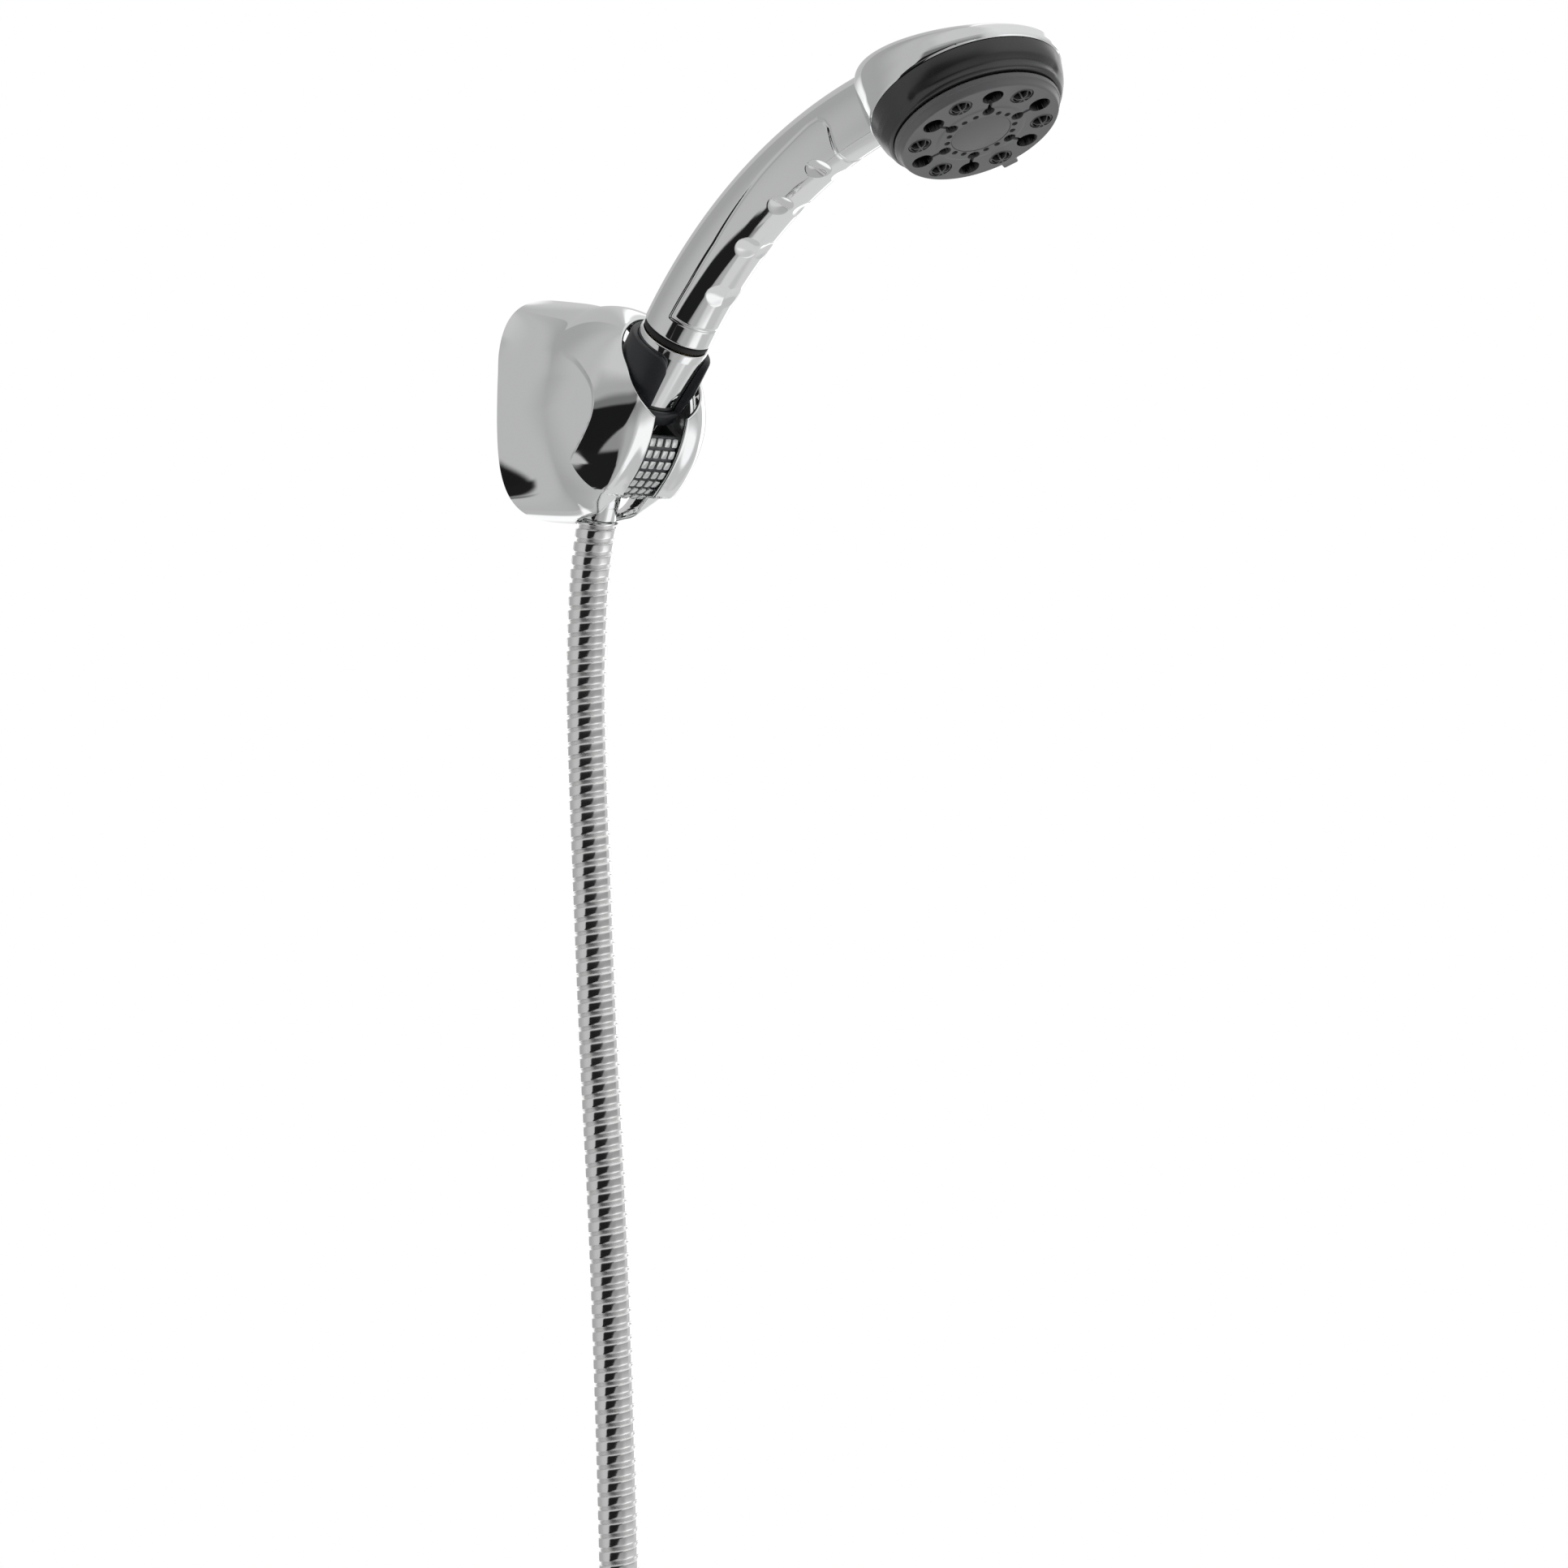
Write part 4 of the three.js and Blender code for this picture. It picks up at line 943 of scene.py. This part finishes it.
def bezel_ribs(points):
    """Two finger ribs stand out on two opposite stretches of the bezel, and melt into it at their ends."""
    angle = np.degrees(np.arctan2(points[:, 1], points[:, 0])) % 180
    ribs = smoothstep(angle, 3, 9) * (1 - smoothstep(angle, 112, 118))
    radius = np.hypot(points[:, 0], points[:, 1])
    plain = np.interp(points[:, 2], [4.5, 5.0, 8.0, 10.0, 12.0, 14.0], [27.4, 28.2, 29.7, 30.3, 30.7, 31.1])
    blended = np.minimum(plain * (1 - ribs) + radius * ribs, BEZEL_WIDEST)
    scale = np.where(radius > BEZEL_BORE, blended, radius) / radius
    return points * np.column_stack([scale, scale, np.ones_like(scale)])


def make_bezel(around=240):
    profile = smooth_curve(np.column_stack([BEZEL_PROFILE, np.zeros(len(BEZEL_PROFILE))]), 0.25)[:, :2]
    rows = [(26.1, 13.98), (26.1, 4.7), (26.3, 4.5)] + [tuple(p) for p in profile]
    plain = np.array([circle_row(radius, round_angles(around), height) for radius, height in rows])
    ribbed = bezel_ribs(plain.reshape(-1, 3)).reshape(plain.shape)
    build_rows("spray_bezel", ribbed, HEAD, sharp=50, colours=[bezel_plastic],
               body="handset", slot="bezel_plastic", replaces=["bezel_ring"])


make_bezel()


# Round openings of the spray face: the ring they lie on, their turn, radius, depth and soft edge.
OPENINGS = (
    (NOZZLE_RING, 0, 3.35, 3.3, 0.2), (NOZZLE_RING, 30, 3.72, 3.3, 0.15), (INNER_RING, 0, 1.95, 3.3, 0.2))
SMALL_RING = 10.95
FACE_COLUMNS = 720
CAP_RADIUS = 9.66


def face_height(x, y):
    """The spray face's relief, in millimetres up into the head from its front."""
    radius = np.hypot(x, y)
    height = 0.2 * smoothstep(radius, 13.4, 14.8)
    height = height + 0.9 * smoothstep(radius, 25.0, 26.0) ** 2 + 1.4 * smoothstep(radius, 25.6, 26.55)
    for k in range(6):
        for ring, start, size, deep, soft in OPENINGS:
            middle = math.radians(60 * k + start)
            gap = np.hypot(x - ring * math.cos(middle), y - ring * math.sin(middle))
            height = np.maximum(height, deep * (1 - smoothstep(gap, size - soft, size)))
        middle = math.radians(60 * k)
        along = x * math.cos(middle) + y * math.sin(middle)
        across = np.abs(-x * math.sin(middle) + y * math.cos(middle))
        channel = (along > INNER_RING) & (along < NOZZLE_RING)
        height = np.maximum(height, np.where(channel, 1.4 * (1 - smoothstep(across, 0.4, 0.62)), 0))
        for side in (-20, 20):
            spot = math.radians(60 * k + side)
            gap = np.hypot(x - SMALL_RING * math.cos(spot), y - SMALL_RING * math.sin(spot))
            height = np.maximum(height, 2.0 * (1 - smoothstep(gap, 0.82, 0.95)))
    return height


def paint_recess_shade(piece, local, in_recess):
    """Gives the second material, near-black painted shade, to the faces whose middle, in the local frame,
    passes the test.
    """
    mesh = piece.data
    middles = np.empty(len(mesh.polygons) * 3)
    mesh.polygons.foreach_get("center", middles)
    here = into_world(middles.reshape(-1, 3) / MM, local.inverted())
    mesh.polygons.foreach_set("material_index", in_recess(*here.T).astype(np.int32))


def make_plate():
    """The spray plate with its relief, and its plain back."""
    turn = round_angles(FACE_COLUMNS)
    rows = []
    for radius in np.concatenate([[CAP_RADIUS], np.linspace(9.75, 25, 170), np.linspace(25.1, 26.6, 16)]):
        rows.append(circle_row(radius, turn, face_height(radius * np.cos(turn), radius * np.sin(turn))))
    for radius, z in ((26.85, 3.0), (26.85, 3.9), (CAP_RADIUS, 3.9), (CAP_RADIUS, 1.6)):
        rows.append(circle_row(radius, turn, z))
    plate = build_rows("spray_plate", rows, HEAD, sharp=35, colours=[face_plastic, painted_recess_shade],
                       body="spray_disc", slot="grey_plastic", replaces=["spray_face"])
    # The walls and floors of the openings, channels and small dots, deeper than 1.25 mm, get near-black
    # painted shade.
    paint_recess_shade(plate, HEAD, lambda x, y, z: (z > 1.25) & (np.hypot(x, y) < 24.6) & (z < 3.88))


def make_tab():
    """The small tab on the spray plate's rim that a finger turns it by."""
    corners = [(25.6, -2.45), (29.2, -2.45), (29.55, -2.1), (29.55, 2.1), (29.2, 2.45), (25.6, 2.45)]
    rows = []
    for z, grow in ((3.55, 0), (1.25, 0), (0.98, -0.25)):
        rows.append([(x + (grow if x > 26 else 0), y * (1 + grow * 0.08), z) for x, y in corners])
    local = HEAD @ Matrix.Rotation(math.radians(28), 4, "Z")
    build_rows("spray_plate_tab", rows, local, ends=True, sharp=30, colours=[face_plastic],
               body="spray_disc", slot="grey_plastic")


make_plate()
make_tab()
cap = turned([(0, 0.06, 0), (9.58, 0.06, 0.12), (9.58, 1.15, 0), (0, 1.15, 0)], 128, 3)
build_rows("spray_centre_cap", cap, HEAD, sharp=40, colours=[face_plastic],
           body="spray_disc", slot="grey_plastic", replaces=["centre_cap"])


def folded(turn):
    """An angle folded onto one of six equal sectors, measured from the sector's middle."""
    return (turn + math.pi / 6) % (math.pi / 3) - math.pi / 6


STAR_RADIUS = 3.5


def make_star(around=216):
    """A spray nozzle tip: a low dome with six wedge openings between thin ribs."""
    turn = round_angles(around)
    rows = [circle_row(STAR_RADIUS, turn, 3.65)]
    for radius in np.linspace(STAR_RADIUS, 0.0, 46):
        base = -0.86 + 1.3 * smoothstep(radius, 1.7, 3.45)
        rib = 1 - smoothstep(np.abs(radius * np.sin(folded(turn))), 0.24, 0.34)
        opened = (1 - smoothstep(radius, 2.75, 2.9)) * (1 - rib)
        rows.append(circle_row(radius, turn, base + 1.9 * opened))
    points = np.array(rows).reshape(-1, 3)
    return points, [*grid_faces(len(rows), around), tuple(range(around))]


star_points, star_faces = make_star()
for k in range(6):
    sector = HEAD @ Matrix.Rotation(math.radians(60 * k + 30), 4, "Z")
    local = sector @ Matrix.Translation((NOZZLE_RING, 0, 0))
    tip = build(f"spray_star_{k + 1}", star_points, star_faces, local, sharp=40,
                colours=[nozzle_plastic, painted_recess_shade], body="spray_disc", slot="grey_plastic",
                replaces=[f"star_nozzle_{k + 1}"])
    # The wedge openings inside the tip get near-black painted shade.
    paint_recess_shade(tip, local, lambda x, y, z: (np.hypot(x, y) < 2.95) & (z > 0.3))

# ---------- supply end and tie ----------

SUPPLY = Matrix.Translation((-COIL_RADIUS, -COIL_END_DEPTH, COIL_MIDDLE - COIL_TAIL))
NUT_HALF_FLATS = 11.95
NUT_CORNER = 13.7
THREAD_RADII = (10.5, 11.2)
THREAD_PITCH = 1.5
THREAD_TURNS = 8
STRAP_THICKNESS = 1.3
STRAP_HALF_WIDTH = 3.9


def make_fitting():
    rows = turned([
        (4.3, -0.4, 0.2), (7.8, -0.4, 0.5), (7.8, -10.4, 0.3), (6.7, -11.6, 0.2), (6.7, -19.5, 0),
        (9.9, -19.5, 0), (9.9, -22.4, 0.2), (4.3, -22.4, 0.2)], 96, 3)
    return build_rows("supply_end_fitting", rows, SUPPLY, sharp=35, colours=[chrome],
                      body="bracket", slot="chrome_plate", replaces=["supply_fitting"])


def make_nut(around=180):
    """The hexagon nut with chamfered corners, a conical neck and a thread inside."""
    turn = round_angles(around)
    hexagon = NUT_HALF_FLATS / np.cos(folded(turn))
    rows = []
    chamfers = ((-31.95, 1.0), (-31.4, 0.35), (-30.8, 0.0), (-21.4, 0.0), (-20.8, 0.35), (-20.25, 1.0))
    for z, chamfer in chamfers:
        rows.append(circle_row(np.minimum(hexagon, NUT_CORNER - chamfer), turn, z))
    plain = [
        (11.9, -20.2), (9.75, -12.6), (9.3, -12.05), (7.4, -12.05), (7.4, -19.0), (THREAD_RADII[0], -19.0)]
    for k in range(THREAD_TURNS):
        plain += [(THREAD_RADII[0], -19.6 - THREAD_PITCH * k), (THREAD_RADII[1], -20.0 - THREAD_PITCH * k)]
    plain += [(THREAD_RADII[0], -31.5), (10.9, -31.95)]
    rows += [circle_row(radius, turn, z) for radius, z in plain]
    return build_rows("supply_hex_nut", rows, SUPPLY, sharp=28, colours=[chrome],
                      body="nut_of_supply_end", slot="chrome_plate", replaces=["supply_nut"])


def make_seal():
    rows = turned([(5.05, -25.05, 0.2), (9.75, -25.05, 0.3), (9.75, -22.95, 0.3), (5.05, -22.95, 0.2)], 72, 3)
    return build_rows("supply_seal", rows, SUPPLY, sharp=40, colours=[rubber],
                      body="nut_of_supply_end", slot="rubber", replaces=["supply_washer"])


def strap_outline(grow):
    """The strap's rounded outline round both turns of the hose, seen from above."""
    reach = HOSE_RADIUS + 0.75
    left, right = COIL_RADIUS - reach - grow, COIL_RADIUS + reach + grow
    near, far = grow - (COIL_DEPTH - reach), -(COIL_END_DEPTH + reach) - grow
    rounding = 5 + grow
    return rounded_profile([(left, far, rounding), (right, far, rounding), (right, near, rounding),
                            (left, near, rounding)], 10)


def make_tie():
    """A flat strap round both turns of the coil."""
    inner, outer = strap_outline(0), strap_outline(STRAP_THICKNESS)
    levels = ((inner, -STRAP_HALF_WIDTH), (outer, -STRAP_HALF_WIDTH), (outer, STRAP_HALF_WIDTH),
              (inner, STRAP_HALF_WIDTH))
    rows = [np.column_stack([outline, np.full(len(outline), COIL_MIDDLE + z)]) for outline, z in levels]
    return build_rows("coil_tie_strap", rows, sharp=35, colours=[tie_plastic],
                      body="bracket", slot="black_plastic", replaces=["hose_tie"])


supply_pieces = [make_fitting(), make_nut(), make_seal()]
tie = make_tie()

# ---------- materials of the frame's own shown pieces ----------

NODE_FINISH = {
    steel: ["mounting_plate", "wall_screw_upper", "wall_screw_lower", "cover_set_screw", "pivot_pin_left",
            "pivot_pin_right", "check_valve_spring", "detent_plunger", "detent_spring", "face_screw"],
    brass: ["hose_end_fitting", "inlet_connector"],
    rubber: ["hose_washer", "diverter_seal"],
    white_plastic: ["friction_washer_left", "friction_washer_right", "check_valve_body", "engine_housing",
                    "diverter_disc", "massage_turbine", "water_tube"],
    face_plastic: ["flow_restrictor"],
    clip_plastic: ["check_valve_poppet"],
}
for material, names in NODE_FINISH.items():
    for name in names:
        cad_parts[name].data.materials.clear()
        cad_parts[name].data.materials.append(material)

# ---------- room: pale floor and soft studio light ----------

# Softboxes and dark cards round the object, as seen from it. Later ones lie over earlier ones. Each has a
# left and right azimuth (0 is the room in front, 90 is +X), a low and high elevation and a soft edge, all in
# degrees, and a brightness. A slant moves the left or right edge per degree of elevation above the card's
# middle.
STUDIO_BASE = 0.55
STUDIO_CARDS = [
    ("left_grey", -200, -132, -60, 70, 44, 0.42, 0, 0),
    ("upper_front", -84, 134, 20, 95, 30, 0.66, 0, 0),
    ("upper_right", -5, 134, 8, 95, 34, 0.82, 0, 0),
    ("lower_front", -80, 140, -95, 9, 6, 0.30, 0, 0),
    ("lower_middle", -45, 140, -95, -12, 26, 0.46, 0, 0),
    ("lower_right", 5, 140, -95, -6, 30, 0.72, 0, 0),
    ("low_softbox", 18, 58, -62, -18, 12, 1.10, 0, 0),
    ("side_grey", 60, 92, -60, 12, 12, 0.60, 0, 0),
    ("side_softbox", 88, 131, -14, 29, 5, 1.35, 0, 0),
    ("rear_card", 142, 178, -50, 4, 8, 1.15, 0, 0),
    ("rear_strip", 129, 137, 28, 78, 4, 1.2, 0, 0),
    ("horizon_upper", -86, -15, 12, 34, 14, 0.44, 0, 0),
    ("horizon_lower", -86, -15, 2, 20, 8, 0.19, 0, 0),
    ("black_card", -91, -52, -47, 10, 4, 0.012, 0.2, 1.35),
    ("low_card_upper", -97, -54, -64, -38, 5, 0.014, 0, 0),
    ("low_card_middle", -101, -51, -75, -56, 5, 0.014, 0, 0),
    ("low_card_lower", -106, -50, -80, -66, 5, 0.014, 0, 0),
]


def studio_world():
    """A white studio: the camera sees plain white, and what the metal mirrors has bright and dark cards."""
    world = bpy.data.worlds.new("studio")
    bpy.context.scene.world = world
    world.use_nodes = True
    nodes, links = world.node_tree.nodes, world.node_tree.links

    def math_node(operation, *values):
        node = nodes.new("ShaderNodeMath")
        node.operation = operation
        for k, value in enumerate(values):
            if isinstance(value, (int, float)):
                node.inputs[k].default_value = value
            else:
                links.new(value, node.inputs[k])
        return node.outputs["Value"]

    def rise(value, edge, soft):
        node = nodes.new("ShaderNodeMapRange")
        node.interpolation_type = "SMOOTHSTEP"
        links.new(value, node.inputs["Value"])
        node.inputs["From Min"].default_value = edge - soft / 2
        node.inputs["From Max"].default_value = edge + soft / 2
        return node.outputs["Result"]

    place = nodes.new("ShaderNodeTexCoord")
    split = nodes.new("ShaderNodeSeparateXYZ")
    links.new(place.outputs["Generated"], split.inputs["Vector"])
    x, y, z = split.outputs
    azimuth = math_node("DEGREES", math_node("ARCTAN2", x, math_node("MULTIPLY", y, -1)))
    elevation = math_node("DEGREES", math_node("ARCSINE", z))
    level = STUDIO_BASE
    for _, left, right, low, high, soft, brightness, left_slant, right_slant in STUDIO_CARDS:
        above = math_node("SUBTRACT", elevation, (low + high) / 2)
        from_left = math_node("SUBTRACT", azimuth, math_node("MULTIPLY", above, left_slant))
        from_right = math_node("SUBTRACT", azimuth, math_node("MULTIPLY", above, right_slant))
        left_of_right = math_node("SUBTRACT", 1, rise(from_right, right, soft))
        inside = math_node("MULTIPLY", rise(from_left, left, soft), left_of_right)
        inside = math_node("MULTIPLY", inside, rise(elevation, low, soft))
        inside = math_node("MULTIPLY", inside, math_node("SUBTRACT", 1, rise(elevation, high, soft)))
        share_before = math_node("MULTIPLY", math_node("SUBTRACT", 1, inside), level)
        level = math_node("ADD", share_before, math_node("MULTIPLY", inside, brightness))
    seen = nodes.new("ShaderNodeLightPath").outputs["Is Camera Ray"]
    hidden_part = math_node("MULTIPLY", math_node("SUBTRACT", 1, seen), level)
    links.new(math_node("ADD", hidden_part, seen), nodes["Background"].inputs["Strength"])
    nodes["Background"].inputs["Color"].default_value = (1, 1, 1, 1)


studio_world()
bpy.context.scene.view_settings.view_transform = "Standard"

FLOOR_RADIUS = 1.25
FLOOR_GAP = 0.06
FLOOR_CORNERS = 96
floor_mesh = bpy.data.meshes.new("floor")
floor_edge = circle_row(FLOOR_RADIUS, round_angles(FLOOR_CORNERS), 0)
floor_mesh.from_pydata(floor_edge.tolist(), [], [tuple(range(FLOOR_CORNERS))])
floor = bpy.data.objects.new("floor", floor_mesh)
floor.location = (0, 0, CAD_BOX[0][2] - FLOOR_GAP)
floor.visible_glossy = False
floor_mesh.materials.append(finish("floor_paint", (0.85, 0.85, 0.85), 0.0, 0.7, 0.05))
bpy.context.scene.collection.objects.link(floor)
